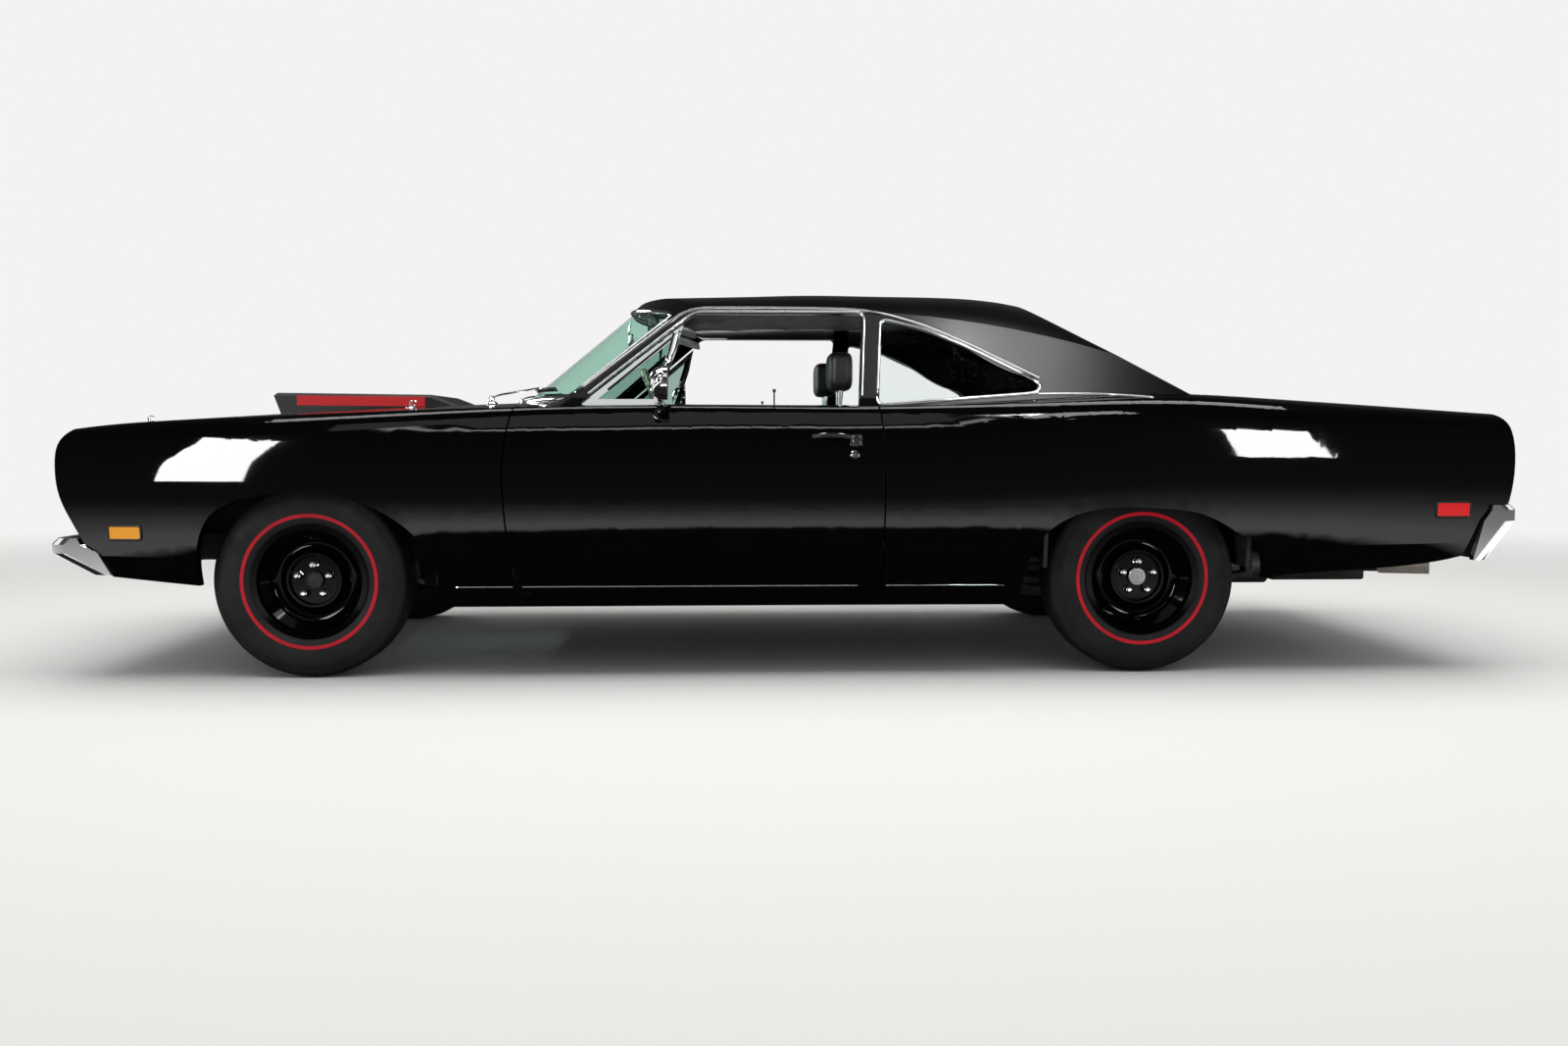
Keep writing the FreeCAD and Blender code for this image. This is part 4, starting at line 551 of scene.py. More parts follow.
def build_wheel_details(end, side, outward):
    """Five bright hex nuts on studs, a valve stem and the axle's end, which all turn with the wheel."""
    name = f"wheel_{end}_{side}"
    low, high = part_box(f"tyre_{end}_{side}")
    middle = np.array((low + high) / 2)
    axis = (0, outward, 0)
    nut = [(0, 0.024), (0.015, 0.024), (0.015, 0.0262), (0.0131, 0.0275), (0.0131, 0.044), (0.0112, 0.0492),
           (0.0062, 0.0496)]
    stud = [(0, 0.046), (0.0066, 0.046), (0.0066, 0.052), (0.0052, 0.0535), (0, 0.0535)]
    nuts = []
    for i in range(lug_count):
        a = math.pi / 2 + 2 * math.pi / lug_count * i
        ray = (math.cos(a), 0, math.sin(a))
        place = middle + (lug_circle * math.cos(a), 0, lug_circle * math.sin(a))
        nuts.append(stamped(place, axis, nut, segments=6, up=ray))
        nuts.append(stamped(place, axis, stud, segments=20))
    shown(name + "_nuts", joined(nuts), bright, name, sharp=20)
    first = math.pi / 2 if end == "front" else -math.pi / 2
    place = middle + (valve_circle * math.cos(first), 0.0, valve_circle * math.sin(first))
    stem = [(0, 0.02), (0.0055, 0.02), (0.0052, 0.045), (0.004, 0.047), (0.004, 0.058), (0.0031, 0.06),
            (0, 0.06)]
    shown(name + "_valve", stamped(place, axis, stem, segments=20), black_rubber, name)
    if end == "rear":
        axle_end = [(0, 0.0318), (0.0315, 0.0318), (0.0315, 0.0345), (0.0295, 0.0362), (0.02, 0.0362),
                    (0.0185, 0.0346), (0.0075, 0.0346), (0.006, 0.0325), (0, 0.0325)]
        cover = bare_steel
    else:
        axle_end = [(0, 0.0318), (0.0325, 0.0318), (0.0325, 0.0338), (0.029, 0.0372), (0.0265, 0.0372),
                    (0.025, 0.0335), (0.012, 0.033), (0, 0.0345)]
        cover = scoop_black
    shown(name + "_axle_end", stamped(middle, axis, axle_end), cover, name)


for build in (build_tyre, build_wheel_details):
    for end in ("front", "rear"):
        for side, outward in (("left", -1), ("right", 1)):
            build(end, side, outward)

# Bright lines of the cabin

cabin_skin = surface("roof", "windshield", "rear_glass", "quarter_left", "fender_left", "cowl", "rear_deck")
left = (0, 1, 0)
pillar_slope = 1.226
window_head = 1.29
opening_front = -0.3592
opening_rear = 0.2464
opening_foot = 0.992
opening_low = 0.6


def pillar_x(z):
    """X of the door opening's sloping front edge at a height."""
    return opening_front + (z - window_head) * pillar_slope


def side_bead(name, skin, line, size, material=bright, body="root", step=0.012, loop=False):
    """A half-round bead of a width and height, laid on a skin from the left, and its mirror image."""
    paired(name, beaded(skin, line, left, half_round(*size), step, loop), material, body)


def build_cabin_lines():
    """Bright beads: the door opening's frame, the drip rail, the quarter window's frame and a roof seam."""
    foot = opening_foot
    opening = [(pillar_x(foot), foot), (opening_front, window_head), (opening_rear, window_head),
               (opening_rear - 0.0213, foot), (opening_rear - 0.03, opening_low),
               (pillar_x(opening_low), opening_low)]
    edge = rounded(from_side(grown(opening, 0.0075)[:4]), 0.02)
    side_bead("door_opening_bead", cabin_skin, edge, (0.011, 0.0045))
    rail = [(pillar_x(foot) - 0.022, foot + 0.026), (opening_front - 0.024, window_head + 0.019),
            (-0.114, 1.3105), (0.12, 1.309), (0.235, 1.3045), (0.33, 1.289), (0.4663, 1.248),
            (0.6313, 1.1745), (0.8081, 1.0845), (0.868, 1.0535)]
    side_bead("drip_rail", cabin_skin, rounded(from_side(rail), 0.06), (0.0105, 0.0085))
    quarter = [(0.2921, 0.9665), (0.316, 1.2654), (0.4603, 1.232), (0.6223, 1.1603), (0.7991, 1.0696),
               (0.8669, 1.0362), (0.8698, 1.018), (0.8462, 1.0075)]
    ring = grown(quarter, 0.0065)
    start = (ring[0] + ring[-1])[None] / 2
    line = rounded(from_side(np.concatenate([start, ring, start])), 0.015)[:-1]
    side_bead("quarter_window_bead", cabin_skin, line, (0.0125, 0.005), loop=True)
    seam = rounded(from_side([(0.862, 0.9985), (1.00, 1.0005), (1.13, 0.997), (1.262, 0.986)]), 0.1)
    side_bead("roof_seam_bead", cabin_skin, seam, (0.009, 0.004))


def build_pane_frames():
    """The bright frames round the windshield and the rear window, each over a rubber strip."""
    front = [(-0.7825, 0.9884), (0.7825, 0.9884), (0.6431, 1.29), (0.33, 1.3275), (0, 1.3408),
             (-0.33, 1.3275), (-0.6431, 1.29)]
    rear = [(-0.5687, 1.0362), (0.5687, 1.0362), (0.4827, 1.3019), (-0.4827, 1.3019)]
    for name, outline, aim in (("windshield", front, (1, 0, 0)), ("rear_window", rear, (-1, 0, 0))):
        for part, gap, size, material in (("frame", 0.007, (0.016, 0.0055), bright),
                                          ("rubber", -0.004, (0.009, 0.003), black_rubber)):
            ring = grown(outline, gap)
            start = (ring[0] + ring[1])[None] / 2
            line = rounded(from_front(np.concatenate([start, ring[1:], ring[:1], start])), 0.05)[:-1]
            shown(f"{name}_{part}", beaded(cabin_skin, line, aim, half_round(*size), loop=True), material)


def build_vent_trim():
    """A thick round bar behind each vent window, and the black rubber along its sloping front bar."""
    skin = surface("window_trim_left")
    bar = from_side([(-0.49, 0.999), (-0.415, 1.25)])
    strip = from_side([(-0.6622, 1.012), (-0.411, 1.225)])
    side_bead("vent_bar", skin, bar, (0.029, 0.011), body="door_{}")
    side_bead("vent_rubber", skin, strip, (0.009, 0.003), black_rubber, "door_{}")


build_cabin_lines()
build_pane_frames()
build_vent_trim()

# Body trim

skin_of = {name: surface(name + "_left") for name in ("fender", "door", "quarter")}


def build_side_trim():
    """Sill beads on each panel, and dark frames round the side lamps."""
    for panel, start, end, body in (("fender", -1.262, -0.988, "root"), ("door", -0.955, 0.212, "door_{}"),
                                    ("quarter", 0.312, 0.862, "root")):
        line = from_side([(start, 0.327), (end, 0.327)])
        side_bead("sill_bead_" + panel, skin_of[panel], line, (0.006, 0.0028), body=body, step=0.03)
    for panel, x, z, w, h in (("fender", -2.2997, 0.52, 0.0575, 0.0245),
                              ("quarter", 2.3269, 0.59, 0.0635, 0.027)):
        ring = np.array([(0, -h), (w, -h), (w, h), (-w, h), (-w, -h), (0, -h)]) + (x, z)
        line = rounded(from_side(ring), 0.008)[:-1]
        side_bead("lamp_frame_" + panel, skin_of[panel], line, (0.009, 0.0055), scoop_black, "root",
                  0.004, True)


def build_door_handles():
    """A pull bar on two feet, the square button at its end and the round lock below it."""
    skin = skin_of["door"]
    places, normals = laid(skin, from_side([(0.052, 0.8475), (0.085, 0.847), (0.12, 0.846), (0.155, 0.845),
                                            (0.188, 0.844)]), left)
    rise = np.array([0.001, 0.017, 0.021, 0.019, 0.006])[:, None]
    line = evenly(rounded(places + normals * rise, 0.02), 0.006)
    bar = swept(line, normals[2], flat_bar(0.017, 0.0075, 0.4))
    spot, normal = laid(skin, from_side([(0.2035, 0.834), (0.198, 0.785)]), left)
    plate = [(0, -0.002), (1.0, -0.002), (1.0, 0.006), (0.93, 0.0085), (0.72, 0.0085), (0.68, 0.0045),
             (0.62, 0.0045), (0.6, 0.0125), (0.52, 0.0145), (0, 0.015)]
    lock = [(0, -0.002), (0.0155, -0.002), (0.0155, 0.002), (0.0125, 0.005), (0.01, 0.005), (0.0092, 0.0035),
            (0.008, 0.0035), (0.0078, 0.0065), (0.002, 0.0068), (0, 0.0055)]
    shapes = [bar, stamped(spot[0], normal[0], plate, (0.0225, 0.0215), 7),
              stamped(spot[1], normal[1], lock)]
    paired("door_handle", joined(shapes), bright, "door_{}", sharp=30)


def build_lock_knobs():
    """The small knob that stands on the top of each door."""
    profile = [(0, 0), (0.0028, 0), (0.0028, 0.047), (0.0058, 0.0485), (0.0062, 0.0555), (0.0045, 0.0585),
               (0, 0.059)]
    knob = stamped((-0.079, -0.858, 0.9555), (0, 0, 1), profile, segments=24, up=(1, 0, 0))
    paired("lock_knob", knob, scoop_black, "door_{}")


def build_hood_pins():
    """Four pins that hold the hood: a plate, a post and a ring through it."""
    skin = surface("hood")
    post = [(0, -0.002), (0.019, -0.002), (0.019, 0.0008), (0.0165, 0.0028), (0.0075, 0.0028),
            (0.0065, 0.0018), (0.0048, 0.0018), (0.0048, 0.023), (0.003, 0.0255), (0, 0.0258)]
    a = np.linspace(0, 2 * np.pi, 40, endpoint=False)[:, None]
    circle = 0.0112 * (np.cos(a) * np.array([1, 0, 0]) + np.sin(a) * np.array([0, 0.25, 0.97]))
    pins = []
    for x in (-2.352, -1.405):
        spot, normal = laid(skin, [(x, -0.575, 0.9)], (0, 0, -1))
        place, out = spot[0], normal[0]
        pins.append(stamped(place, out, post, segments=40, up=(1, 0, 0)))
        ring = place + out * 0.0165 + circle
        pins.append(swept(ring + np.array([0.0085, 0, 0]), (0, 1, 0.01), round_bar(0.0015, 10), loop=True))
    shown("hood_pins", both_sides(pins), bright, "hood", sharp=30)


def build_scoop_bands():
    """A plain red band on each side of the scoop."""
    skin = surface("hood_scoop")
    line = from_side([(-1.898, 0.9865), (-1.42, 0.9835)], -0.3)
    section = [(0.019, -0.001), (0.019, 0.001), (-0.019, 0.001), (-0.019, -0.001)]
    shown("scoop_bands", both_sides([beaded(skin, line, left, section, 0.02)]), scoop_red, "hood", sharp=30)


def build_wipers():
    """Two wipers at rest: a boss on the cowl, a bent arm and a blade low on the windshield."""
    cowl = surface("cowl", "fender_left", "fender_right")
    glass = surface("windshield", "roof")
    boss = [(0, -0.004), (0.021, -0.004), (0.021, 0.004), (0.015, 0.01), (0.011, 0.012), (0.011, 0.028),
            (0.009, 0.032), (0, 0.033)]
    metal, blades = [], []
    for start, end in ((-0.6, -0.2), (0.12, 0.55)):
        spot, normal = laid(cowl, [(-1.105, start, 0.95)], (0, 0, -1))
        pivot = spot[0]
        metal.append(stamped(pivot, normal[0], boss, segments=40, up=(1, 0, 0)))
        rest = [(-1.2, start + 0.02, 1.0135), (-1.2, (start + end) / 2, 1.0165), (-1.2, end, 1.0175)]
        places, normals = laid(glass, evenly(rest, 0.02), (1, 0, 0))
        middle = len(places) // 2
        arm = rounded([pivot + (0, 0, 0.026), pivot + (0.02, 0.03, 0.036),
                       places[middle] + normals[middle] * 0.022], 0.03)
        metal.append(swept(evenly(arm, 0.01), (-0.4, 0, 0.9), flat_bar(0.011, 0.005)))
        metal.append(swept(places + normals * 0.0165, normals, flat_bar(0.008, 0.005)))
        blades.append(swept(places + normals * 0.008, normals, flat_bar(0.005, 0.013)))
    shown("wipers", joined(metal), bright, sharp=30)
    shown("wiper_blades", joined(blades), black_rubber, sharp=30)


build_side_trim()
build_door_handles()
build_lock_knobs()
build_hood_pins()
build_scoop_bands()
build_wipers()

# Lamps and exhaust


def build_head_lamps():
    """A bright ring and a domed, fluted glass on each of the four head lamps."""
    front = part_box("head_lamps")[0].x
    ring = [(0.07, -0.001), (0.0835, -0.001), (0.0835, 0.004), (0.08, 0.01), (0.0745, 0.012),
            (0.0715, 0.008), (0.07, 0.001), (0.07, -0.001)]
    dome = [(0, 0.001), (0.0705, 0.001), (0.07, 0.006), (0.06, 0.0125), (0.04, 0.018), (0.02, 0.0205),
            (0, 0.021)]
    for name, profile, material in (("rings", ring, bright), ("glasses", dome, fluted_glass)):
        lamps = [stamped((front, y, 0.69), (-1, 0, 0), profile) for y in (-0.69, -0.505, 0.505, 0.69)]
        shown("head_lamp_" + name, joined(lamps), material)


def build_tail_lamps():
    """A bright frame round each tail lamp and ribs across its lens."""
    half_width = 0.968
    low, high = 0.6685, 0.7927
    lens_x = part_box("red_lamps")[1].x
    gap = 0.005
    bottom, top = low - gap, high + gap
    frames, lines = [], []
    for start, end in ((0.32, 0.56), (0.6, 0.84)):
        y0, y1 = -end * half_width, -start * half_width
        inner, outer = y1 + gap, y0 - gap
        start = ((y0 + y1) / 2, bottom)
        ring = [start, (inner, bottom), (inner, top), (outer, top), (outer, bottom), start]
        line = evenly(rounded(from_front(ring, 2.5293), 0.014)[:-1], 0.004)
        frames.append(swept(line, (1, 0, 0), half_round(0.01, 0.006), loop=True))
        for share in (0.2, 0.4, 0.6, 0.8):
            z = low + (high - low) * share
            line = evenly([(lens_x, y0 + 0.008, z), (lens_x, y1 - 0.008, z)], 0.05)
            lines.append(swept(line, (1, 0, 0), half_round(0.007, 0.0035)))
    shown("tail_lamp_frames", both_sides(frames), bright)
    shown("tail_lamp_ribs", both_sides(lines), red_lens)


def build_exhaust_tips():
    """A bright sleeve over the end of each pipe, with a near-black disc inside it: soot and painted shade for
    the pipe's dark inside.
    """
    end = np.array([2.428, -0.56, 0.3594])
    axis = unit(end - np.array([1.8855, -0.25, 0.3444]))
    sleeve = [(0.0305, -0.17), (0.0345, -0.17), (0.0365, -0.155), (0.0365, 0.008), (0.035, 0.011),
              (0.0325, 0.01), (0.0325, 0.001), (0.0305, -0.002), (0.0305, -0.17)]
    inside = [(0, 0.0004), (0.0322, 0.0004), (0.0322, 0.0016), (0, 0.0016)]
    paired("exhaust_tip", stamped(end, axis, sleeve), tip_steel_and_painted_reflection)
    paired("exhaust_soot_and_shade", stamped(end, axis, inside), pipe_soot_and_shade)


build_head_lamps()
build_tail_lamps()
build_exhaust_tips()

# Cabin

seam_start = 0.75


def pleated(points, cube, across=1, face=2, count=15, depth=0.006, side=1, margin=0.86):
    """Sewn channels: between pleats the face sinks by depth s^2, where s goes from 0 to 1 as |cos| nears 1.

    The cosine makes count half turns across the face. The channels end at a margin before the face's edges.
    """
    at = cube[:, across]
    rows = np.abs(np.cos(np.pi * count * (at + 1) / 2))
    sunk = np.clip((rows - seam_start) / (1 - seam_start), 0, 1) ** 2
    on_face = np.clip(side * cube[:, face] - 0.6, 0, 0.4) / 0.4
    reach = np.abs(cube).max(axis=1, where=(np.arange(3) != face)[None], initial=0)
    points = points.copy()
    points[:, face] -= side * depth * sunk * on_face * np.clip((margin - reach) / 0.05, 0, 1)
    return points


def pad(name, shape, seat):
    """A crowned vinyl pad that stands for a seat's node with its other pads."""
    piece = shown(name, shape, seat_vinyl, sharp=50)
    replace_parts(piece, seat)


def build_front_seat():
    """The front bench on its legs, its raked back and two headrests on posts."""
    low, back_rise = 0.391, 0.569

    def bench(points, cube):
        """The pad rises to its front edge, and crowns by 1 - x^2."""
        points = pleated(points, cube, count=17)
        rise = np.clip((points[:, 2] - low) / 0.12, 0, 1)
        points[:, 2] += rise * (0.04 * (-cube[:, 0]) / 2 + 0.01 * (1 - cube[:, 0] ** 2) - 0.012)
        return points

    def backrest(points, cube):
        """The back leans to the tail with its height, and thins to its top."""
        points = pleated(points, cube, face=0, side=-1, count=17)
        up = (points[:, 2] - low) / back_rise
        points[:, 0] += 0.091 * up - 0.034 * up * np.clip(cube[:, 0], 0, 1)
        return points

    legs = [swept([(x, y, 0.2915), (x, y, 0.34), (x, y, 0.405)], (1, 0, 0), flat_bar(0.058, 0.022))
            for x in (-0.361, -0.025) for y in (-0.56, 0.56)]
    pad("front_bench", block((-0.431, -0.616, low), (0.04, 0.616, 0.528), 7, 91, bench), "front_seat")
    pad("front_backrest", block((0.02, -0.616, low), (0.166, 0.616, 0.957), 7, 91, backrest), "front_seat")
    for side, y in (("left", -0.4), ("right", 0.4)):
        head = block((0.139, y - 0.123, 1.021), (0.232, y + 0.123, 1.168), 4.5, 41)
        pad("headrest_" + side, head, "front_seat")
    posts = [swept([(0.1855, y, 0.92), (0.1855, y, 1.0), (0.1855, y, 1.06)], (1, 0, 0), round_bar(0.0068, 16))
             for y in (-0.4625, -0.3375, 0.3375, 0.4625)]
    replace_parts(shown("headrest_posts", joined(posts), bright), "front_seat")
    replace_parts(shown("seat_legs", joined(legs), chassis_black), "front_seat")


def build_rear_seat():
    """The rear bench and its back, as wide as the CAD's seat."""
    box_low, box_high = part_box("rear_seat")
    low = box_low.z
    half = box_high.y - 0.004

    def bench(points, cube):
        """The pad's top crowns by 1 - x^2."""
        points = pleated(points, cube)
        points[:, 2] += np.clip(cube[:, 2], 0, 1) * (0.01 * (1 - cube[:, 0] ** 2) - 0.01)
        return points

    def backrest(points, cube):
        """The back leans to the tail by a fifth of its height."""
        points = pleated(points, cube, face=0, side=-1)
        points[:, 0] += 0.2 * (points[:, 2] - low)
        return points

    seat = block((0.64, -half, low + 0.001), (1.03, half, low + 0.148), 7, 81, bench)
    back = block((0.92, -half, low + 0.002), (1.034, half, 0.903), 7, 81, backrest)
    pad("rear_bench", seat, "rear_seat")
    pad("rear_backrest", back, "rear_seat")


def build_steering_wheel():
    """A tan rim with finger grips, three bright spokes and a horn pad, square to the column."""
    tilt = math.radians(26.4)
    axis = np.array([math.cos(tilt), 0, math.sin(tilt)])
    middle = np.array([-0.47799, -0.4, 0.925])
    across = np.array([0.0, 1.0, 0.0])
    up = np.cross(axis, across)
    ring, tube = 0.19, 0.0128
    t = np.linspace(0, 2 * np.pi, 180, endpoint=False)[:, None, None]
    s = np.linspace(0, 2 * np.pi, 19)[None, :, None]
    grip = tube * (1 - 0.06 * np.abs(np.cos(20 * t)) ** 3 * (np.cos(s) < 0))
    outward = np.cos(t) * across + np.sin(t) * up
    grid = middle + (ring + grip * np.cos(s)) * outward + grip * np.sin(s) * axis
    hub = middle - axis * 0.061
    spokes = []
    for degrees in (90, 210, 330):
        a = math.radians(degrees)
        out = math.cos(a) * across + math.sin(a) * up
        line = rounded([hub + axis * 0.019 + out * 0.02, hub + axis * 0.03 + out * 0.06,
                        middle + out * (ring - 0.004)], 0.03)
        spokes.append(swept(evenly(line, 0.01), axis, flat_bar(0.017, 0.005)))
    cover = [(0, 0.0005), (0.044, 0.0005), (0.044, 0.022), (0.04, 0.034), (0.03, 0.0375), (0.027, 0.0355),
             (0.01, 0.0375), (0, 0.038)]
    body = "steering_wheel"
    for piece in (shown("steering_rim", (grid, grid_faces(180, 19, around=True)), rim_tan, body),
                  shown("steering_spokes", joined(spokes), bright, body, sharp=30),
                  shown("horn_pad", stamped(hub, axis, cover, up=up), dash_plastic, body)):
        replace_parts(piece, "steering_wheel")


def build_dash_details():
    """Four round dials before the driver, a radio with two knobs, and a glove box lid."""
    skin = surface("dashboard")
    aim = (-1, 0, 0)
    side = np.array([0.0, 1.0, 0.0])
    ring = [(0.04, -0.003), (0.05, -0.003), (0.05, 0.004), (0.046, 0.008), (0.042, 0.006), (0.04, 0.001),
            (0.04, -0.003)]
    face = [(0, -0.002), (0.0405, -0.002), (0.0405, 0.0012), (0, 0.0012)]
    rings, dials, marks, knobs = [], [], [], []
    for y in (-0.565, -0.455, -0.345, -0.235):
        spot, normal = laid(skin, [(0, y, 0.8)], aim)
        place, out = spot[0], normal[0]
        rings.append(stamped(place, out, ring))
        dials.append(stamped(place, out, face))
        high = unit(np.cross(out, side))
        for degrees in range(-120, 121, 30):
            a = math.radians(degrees)
            ray = math.sin(a) * side + math.cos(a) * high
            foot = place + out * 0.0014
            marks.append(swept([foot + ray * 0.031, foot + ray * 0.037], out, flat_bar(0.0016, 0.0008)))
        ray = unit(np.array([0, -0.7, 0.0]) + 0.7 * high)
        foot = place + out * 0.0035
        marks.append(swept([foot, foot + ray * 0.028], out, flat_bar(0.0018, 0.001)))
    spot, normal = laid(skin, [(0, y, 0.79) for y in (0.0, -0.075, 0.075, 0.42)], aim)
    high = unit(np.cross(normal[0], side))
    radio = [(0, -0.003), (1, -0.003), (1, 0.002), (0.96, 0.005), (0, 0.005)]
    radio = stamped(spot[0], normal[0], radio, (0.052, 0.024), 6, up=high)
    glove = [(0, -0.003), (1, -0.003), (1, 0.003), (0.985, 0.005), (0, 0.005)]
    glove = stamped(spot[3], normal[3], glove, (0.15, 0.055), 9, up=high)
    knob = [(0, -0.003), (0.013, -0.003), (0.013, 0.012), (0.011, 0.015), (0, 0.015)]
    catch = [(0, -0.001), (0.01, -0.001), (0.01, 0.006), (0.008, 0.009), (0, 0.009)]
    for i in (1, 2):
        knobs.append(stamped(spot[i], normal[i], knob, segments=32, up=high))
    place = spot[3] + normal[3] * 0.004 + (0, -0.125, 0)
    knobs.append(stamped(place, normal[3], catch, segments=32, up=high))
    shown("dial_rings", joined(rings), bright)
    shown("dial_faces", joined(dials), dial_black)
    shown("dial_marks", joined(marks), dial_white, sharp=20)
    shown("radio_plate", radio, scoop_black)
    shown("glove_lid", glove, dash_plastic)
    shown("dash_knobs", joined(knobs), bright)


def build_cabin_fittings():
    """The inside mirror on its stem and the two sun visors."""
    head = [(0, -0.01), (0.9, -0.01), (1.0, -0.004), (1.0, 0.003), (0.95, 0.006), (0, 0.006)]
    stem = evenly([(-0.64, 0, 1.245), (-0.648, 0, 1.28), (-0.64, 0, 1.316)], 0.01)
    shapes = [stamped((-0.632, 0, 1.236), (1, 0, -0.15), head, (0.105, 0.028), 5),
              swept(stem, (0, 1, 0), round_bar(0.005))]
    shown("inside_mirror", joined(shapes), bright, sharp=30)

    def slanted(points, cube):
        """The visor falls to the tail by a third of its length."""
        points = points.copy()
        points[:, 2] -= 0.33 * (points[:, 0] + 0.43)
        return points

    for side, y in (("left", -0.345), ("right", 0.345)):
        shape = block((-0.5, y - 0.175, 1.25), (-0.365, y + 0.175, 1.27), 5, 31, slanted)
        shown("sun_visor_" + side, shape, ribbed_grey, sharp=50)


def build_headliner():
    """A thin black sheet hung 12 mm under the roof, which rises between its sewn seams by 6 mm |cos|^0.5."""
    x = np.linspace(-0.545, 0.6, 61)
    y = np.linspace(-0.475, 0.475, 31)
    rows, columns = len(x), len(y)
    across = np.meshgrid(x, y, indexing="ij")
    places, _ = laid(surface("roof"), [(a, b, 1.0) for a, b in np.stack(across, axis=-1).reshape(-1, 2)],
                     (0, 0, 1), 0.0)
    z = places[:, 2].reshape(rows, columns)
    seams = 0.006 * np.abs(np.cos(np.pi * 5 * (x - x[0]) / (x[-1] - x[0])))[:, None] ** 0.5
    under = np.stack([*across, z - 0.012 + seams], axis=-1)
    over = under + (0, 0, 0.003)
    faces = grid_faces(rows, columns)
    count = rows * columns
    rim = np.concatenate([np.arange(columns - 1), np.arange(rows - 1) * columns + columns - 1,
                          (rows - 1) * columns + np.arange(columns - 1, 0, -1),
                          np.arange(rows - 1, 0, -1) * columns])
    after = np.roll(rim, -1)
    wall = np.stack([rim + count, after + count, after, rim], axis=-1)
    points = np.concatenate([under.reshape(-1, 3), over.reshape(-1, 3)])
    shown("headliner", (points, np.concatenate([faces[:, ::-1], faces + count, wall])), headliner, sharp=60)


def build_door_cards():
    """The doors' inner panels with sewn channels, an armrest, a winder and a handle."""
    y = -0.826
    out = (0, 1, 0)

    def card(points, cube):
        """Upright channels on the card's inner face."""
        return pleated(points, cube, across=0, face=1, side=1, count=14, depth=0.003, margin=0.9)

    panel = block((-0.93, y - 0.003, 0.42), (0.255, y + 0.007, 0.925), 24, 61, card)
    rest = block((-0.18, y, 0.62), (0.18, y + 0.062, 0.668), 5, 31)
    paired("door_card", panel, seat_vinyl, "door_{}", sharp=50)
    for piece in paired("armrest", rest, seat_vinyl, "door_{}", sharp=50):
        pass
    boss = [(0, 0), (0.02, 0), (0.02, 0.012), (0.015, 0.018), (0, 0.018)]
    knob = [(0, 0), (0.008, 0), (0.011, 0.02), (0.008, 0.028), (0, 0.029)]
    pivot = np.array([-0.36, y + 0.005, 0.66])
    opener = np.array([0.05, y + 0.005, 0.8])
    shapes = [stamped(place, out, boss, segments=32) for place in (pivot, opener)]
    for start, reach in ((pivot, (0.075, 0.018, -0.075)), (opener, (-0.1, 0.012, 0.0))):
        line = evenly([start + (0, 0.014, 0), start + np.array(reach)], 0.02)
        shapes.append(swept(line, out, flat_bar(0.013, 0.006)))
    shapes.append(stamped(pivot + np.array([0.075, 0.014, -0.075]), out, knob, segments=24))
    paired("door_winder", joined(shapes), bright, "door_{}", sharp=30)


build_front_seat()
build_rear_seat()
build_steering_wheel()
build_dash_details()
build_cabin_fittings()
build_headliner()
build_door_cards()

# Light, floor and camera

wall_color = (0.9, 0.895, 0.885)
floor_color = (0.91, 0.905, 0.89)
floor_half = 60.0
# How strongly the world lights plain surfaces, and the room that gloss sees at the horizon and above
fill_level = 0.5
room_low = 0.11
room_high = 0.02
room_top = 0.7
# The dark stand's half sizes, and the floor's tone to gloss by how many times further away from the middle
stand_half = (3.1, 2.9)
gloss_reach = 6.0
gloss_peak = 2.1
gloss_tones = ((0, 0.015), (1.13, 0.02), (1.19, 2.0), (1.34, 1.9), (1.6, 1.15), (2.2, 0.5), (3.6, 0.22),
               (6.0, 0.12))
# Where the floor fades into the wall's tone, in stand sizes
fade_start = 1.3
fade_end = 3.2


def area_light(name, place, target, size, power):
    """A rectangular soft box at a place, turned to a target."""
    data = bpy.data.lights.new(name, "AREA")
    data.shape = "RECTANGLE"
    data.size, data.size_y = size
    data.energy = power
    light = bpy.data.objects.new(name, data)
    light.location = place
    light.rotation_euler = (Vector(target) - Vector(place)).to_track_quat("-Z", "Y").to_euler()
    bpy.context.scene.collection.objects.link(light)
    return light


def build_world():
    """A pale studio, near white straight at the camera and through glass, where gloss sees a dark room."""
    world = bpy.data.worlds.new("studio")
    bpy.context.scene.world = world
    world.use_nodes = True
    path = node(world, "LightPath").outputs
    straight = {0: path["Is Camera Ray"], 1: path["Is Transmission Ray"]}
    seen = node(world, "Math", straight, operation="MAXIMUM")
    place = node(world, "TexCoord").outputs["Generated"]
    height = node(world, "SeparateXYZ", {"Vector": place}).outputs["Z"]
    room = node(world, "MapRange", {"Value": height, "From Max": room_top, "To Min": room_low,
                                    "To Max": room_high})
    lamps = {"Factor": path["Is Glossy Ray"], "A": fill_level, "B": room}
    light = node(world, "Mix", lamps, data_type="FLOAT")
    level = node(world, "Mix", {"Factor": seen, "A": light, "B": 1.0}, data_type="FLOAT")
    back = world.node_tree.nodes["Background"]
    back.inputs["Color"].default_value = (*wall_color, 1)
    world.node_tree.links.new(level.outputs[0], back.inputs["Strength"])


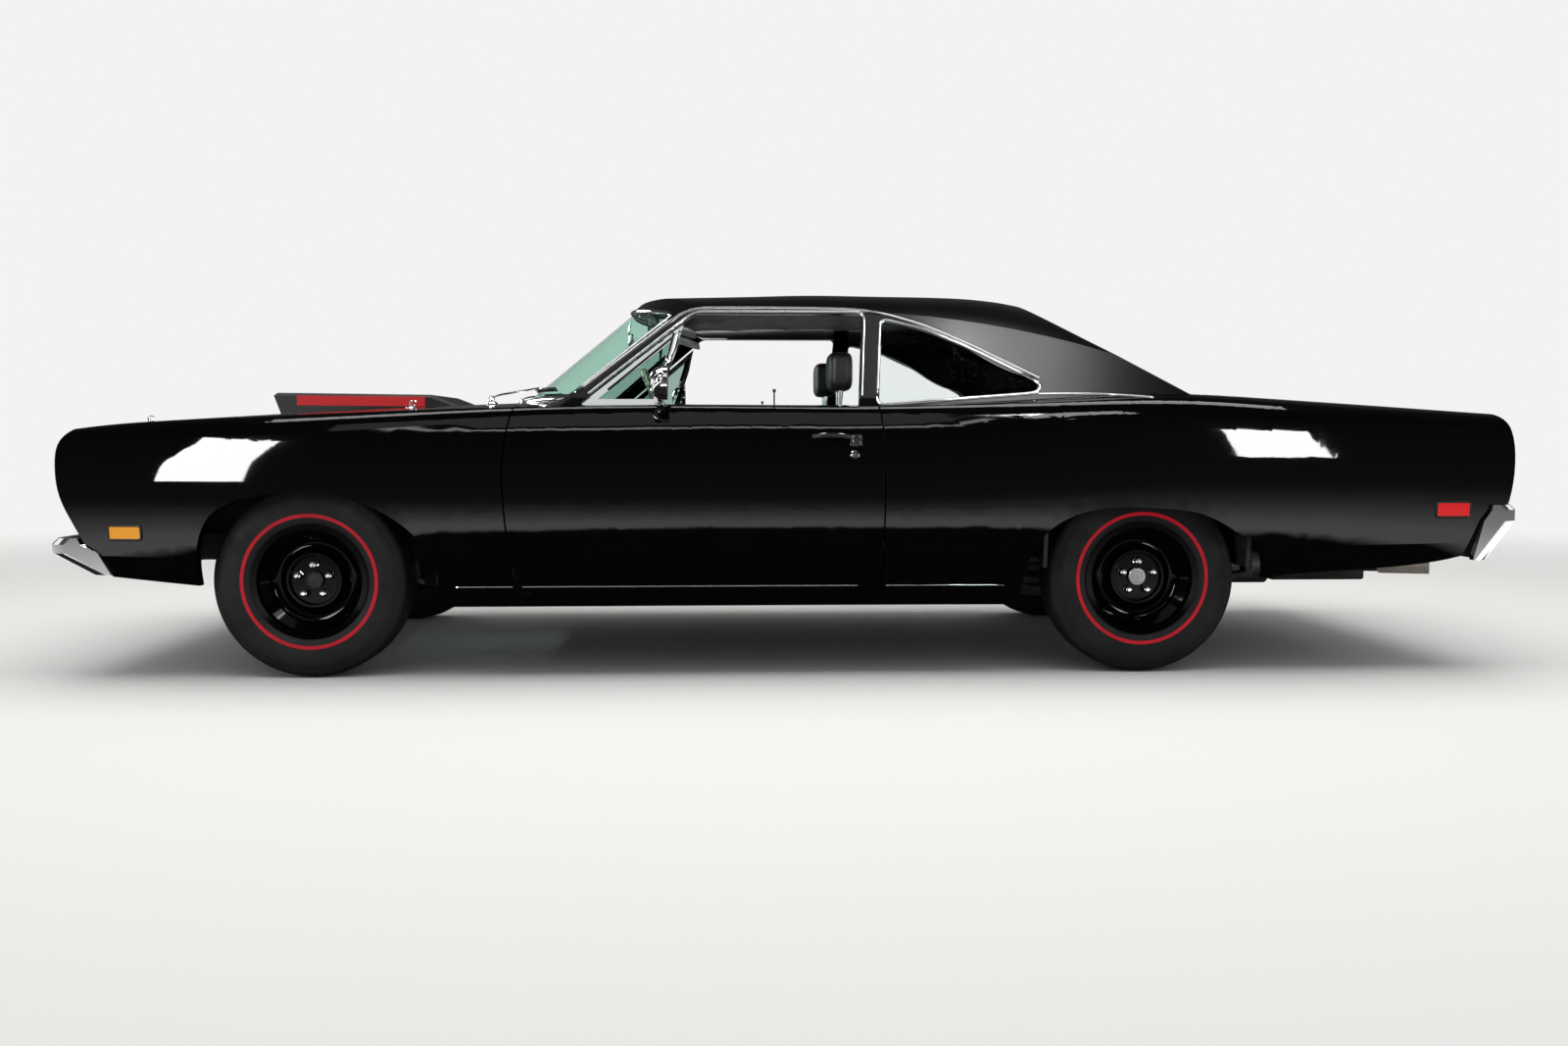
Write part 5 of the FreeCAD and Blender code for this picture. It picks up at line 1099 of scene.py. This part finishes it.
def build_floor():
    """A wide pale floor that takes the car's shadow and runs out into the wall's tone.

    Gloss sees it dark near the car, bright just outside that, and dimmer far off, as round a dark stand under
    soft lamps.
    """
    mesh = bpy.data.meshes.new("floor")
    corners = [(x * floor_half, y * floor_half, 0) for x, y in ((-1, -1), (1, -1), (1, 1), (-1, 1))]
    mesh.from_pydata(corners, [], [(0, 1, 2, 3)])
    floor = bpy.data.objects.new("floor", mesh)
    bpy.context.scene.collection.objects.link(floor)
    material = finish("studio_floor", floor_color, 0.6, polish=(0.8, 4, 0.5, 0.65), Specular_IOR_Level=0.0)
    stands = {"Vector": metres(material), "Scale": (1 / stand_half[0], 1 / stand_half[1], 0)}
    length = node(material, "VectorMath", {0: node(material, "Mapping", stands)}, operation="LENGTH")
    length = length.outputs["Value"]
    tones = [(share / gloss_reach, (tone / gloss_peak,) * 3) for share, tone in gloss_tones]
    tone = ramp(material, node(material, "MapRange", {"Value": length, "From Max": gloss_reach}), tones)
    glow = node(material, "Emission", {"Color": tone, "Strength": gloss_peak})
    far = node(material, "MapRange", {"Value": length, "From Min": fade_start, "From Max": fade_end},
               interpolation_type="SMOOTHSTEP")
    wall = node(material, "Emission", {"Color": (*wall_color, 1)})
    made = material.node_tree.nodes
    lit = node(material, "MixShader", {"Fac": far, 1: made["Principled BSDF"], 2: wall})
    glossy = node(material, "LightPath").outputs["Is Glossy Ray"]
    seen = node(material, "MixShader", {"Fac": glossy, 1: lit, 2: glow})
    material.node_tree.links.new(seen.outputs[0], made["Material Output"].inputs["Surface"])
    mesh.materials.append(material)


def build_camera():
    """The photograph's view: from the car's left, a little ahead of its middle."""
    turn = math.radians(2.308)
    dip = math.radians(3.705)
    data = bpy.data.cameras.new("camera")
    data.lens = 31.11
    data.sensor_width = 36.0
    camera = bpy.data.objects.new("camera", data)
    camera.location = (-0.2367, -5.625, 0.8527)
    forward = Vector((math.sin(turn) * math.cos(dip), math.cos(turn) * math.cos(dip), -math.sin(dip)))
    camera.rotation_euler = forward.to_track_quat("-Z", "Y").to_euler()
    bpy.context.scene.collection.objects.link(camera)
    bpy.context.scene.camera = camera


build_world()
build_floor()
build_camera()
fill = area_light("fill_box", (0, -0.5, 5.5), (0, 0, 0), (9, 6), 325)
fill.visible_glossy = False
# Boxes that only gloss sees: name, place, target, size and brightness
reflectors = (
    ("ceiling_strip", (0.2, 0.25, 5.2), (0.2, 0, 1), (7.5, 1.3), 4.5),
    ("side_panel", (-1.0, -3.6, 5.0), (-1.0, -0.8, 1.0), (4.2, 1.7), 0.75),
    ("hip_strip", (-0.6, -4.4, 4.3), (-0.6, -0.9, 0.9), (4.6, 0.14), 5.0),
    ("sail_box", (1.8, -3.72, 5.03), (0.85, -0.79, 1.1), (1.0, 1.0), 8.5),
    ("sail_spot", (1.35, -3.5, 4.9), (0.6, -0.74, 1.2), (0.16, 0.3), 40.0),
    ("front_box", (-4.22, -4.99, 2.59), (-1.96, -0.93, 0.8), (0.96, 2.6), 38.0),
    ("rear_box", (3.86, -5.22, 2.23), (1.68, -0.95, 0.81), (0.85, 1.35), 38.0),
    ("far_front_box", (-4.22, 4.99, 2.59), (-1.96, 0.93, 0.8), (0.96, 2.0), 22.0),
    ("far_rear_box", (3.86, 5.22, 2.23), (1.68, 0.95, 0.81), (0.85, 1.35), 22.0),
    ("nose_reflector", (-7.2, 0, 1.7), (-2.5, 0, 0.6), (5.0, 2.6), 1.0),
    ("tail_reflector", (7.2, 0, 1.7), (2.5, 0, 0.6), (5.0, 2.6), 1.0),
)
for name, place, target, size, brightness in reflectors:
    box = area_light(name, place, target, size, brightness * math.pi * size[0] * size[1])
    box.visible_diffuse = False
bpy.context.scene.view_settings.view_transform = "Standard"
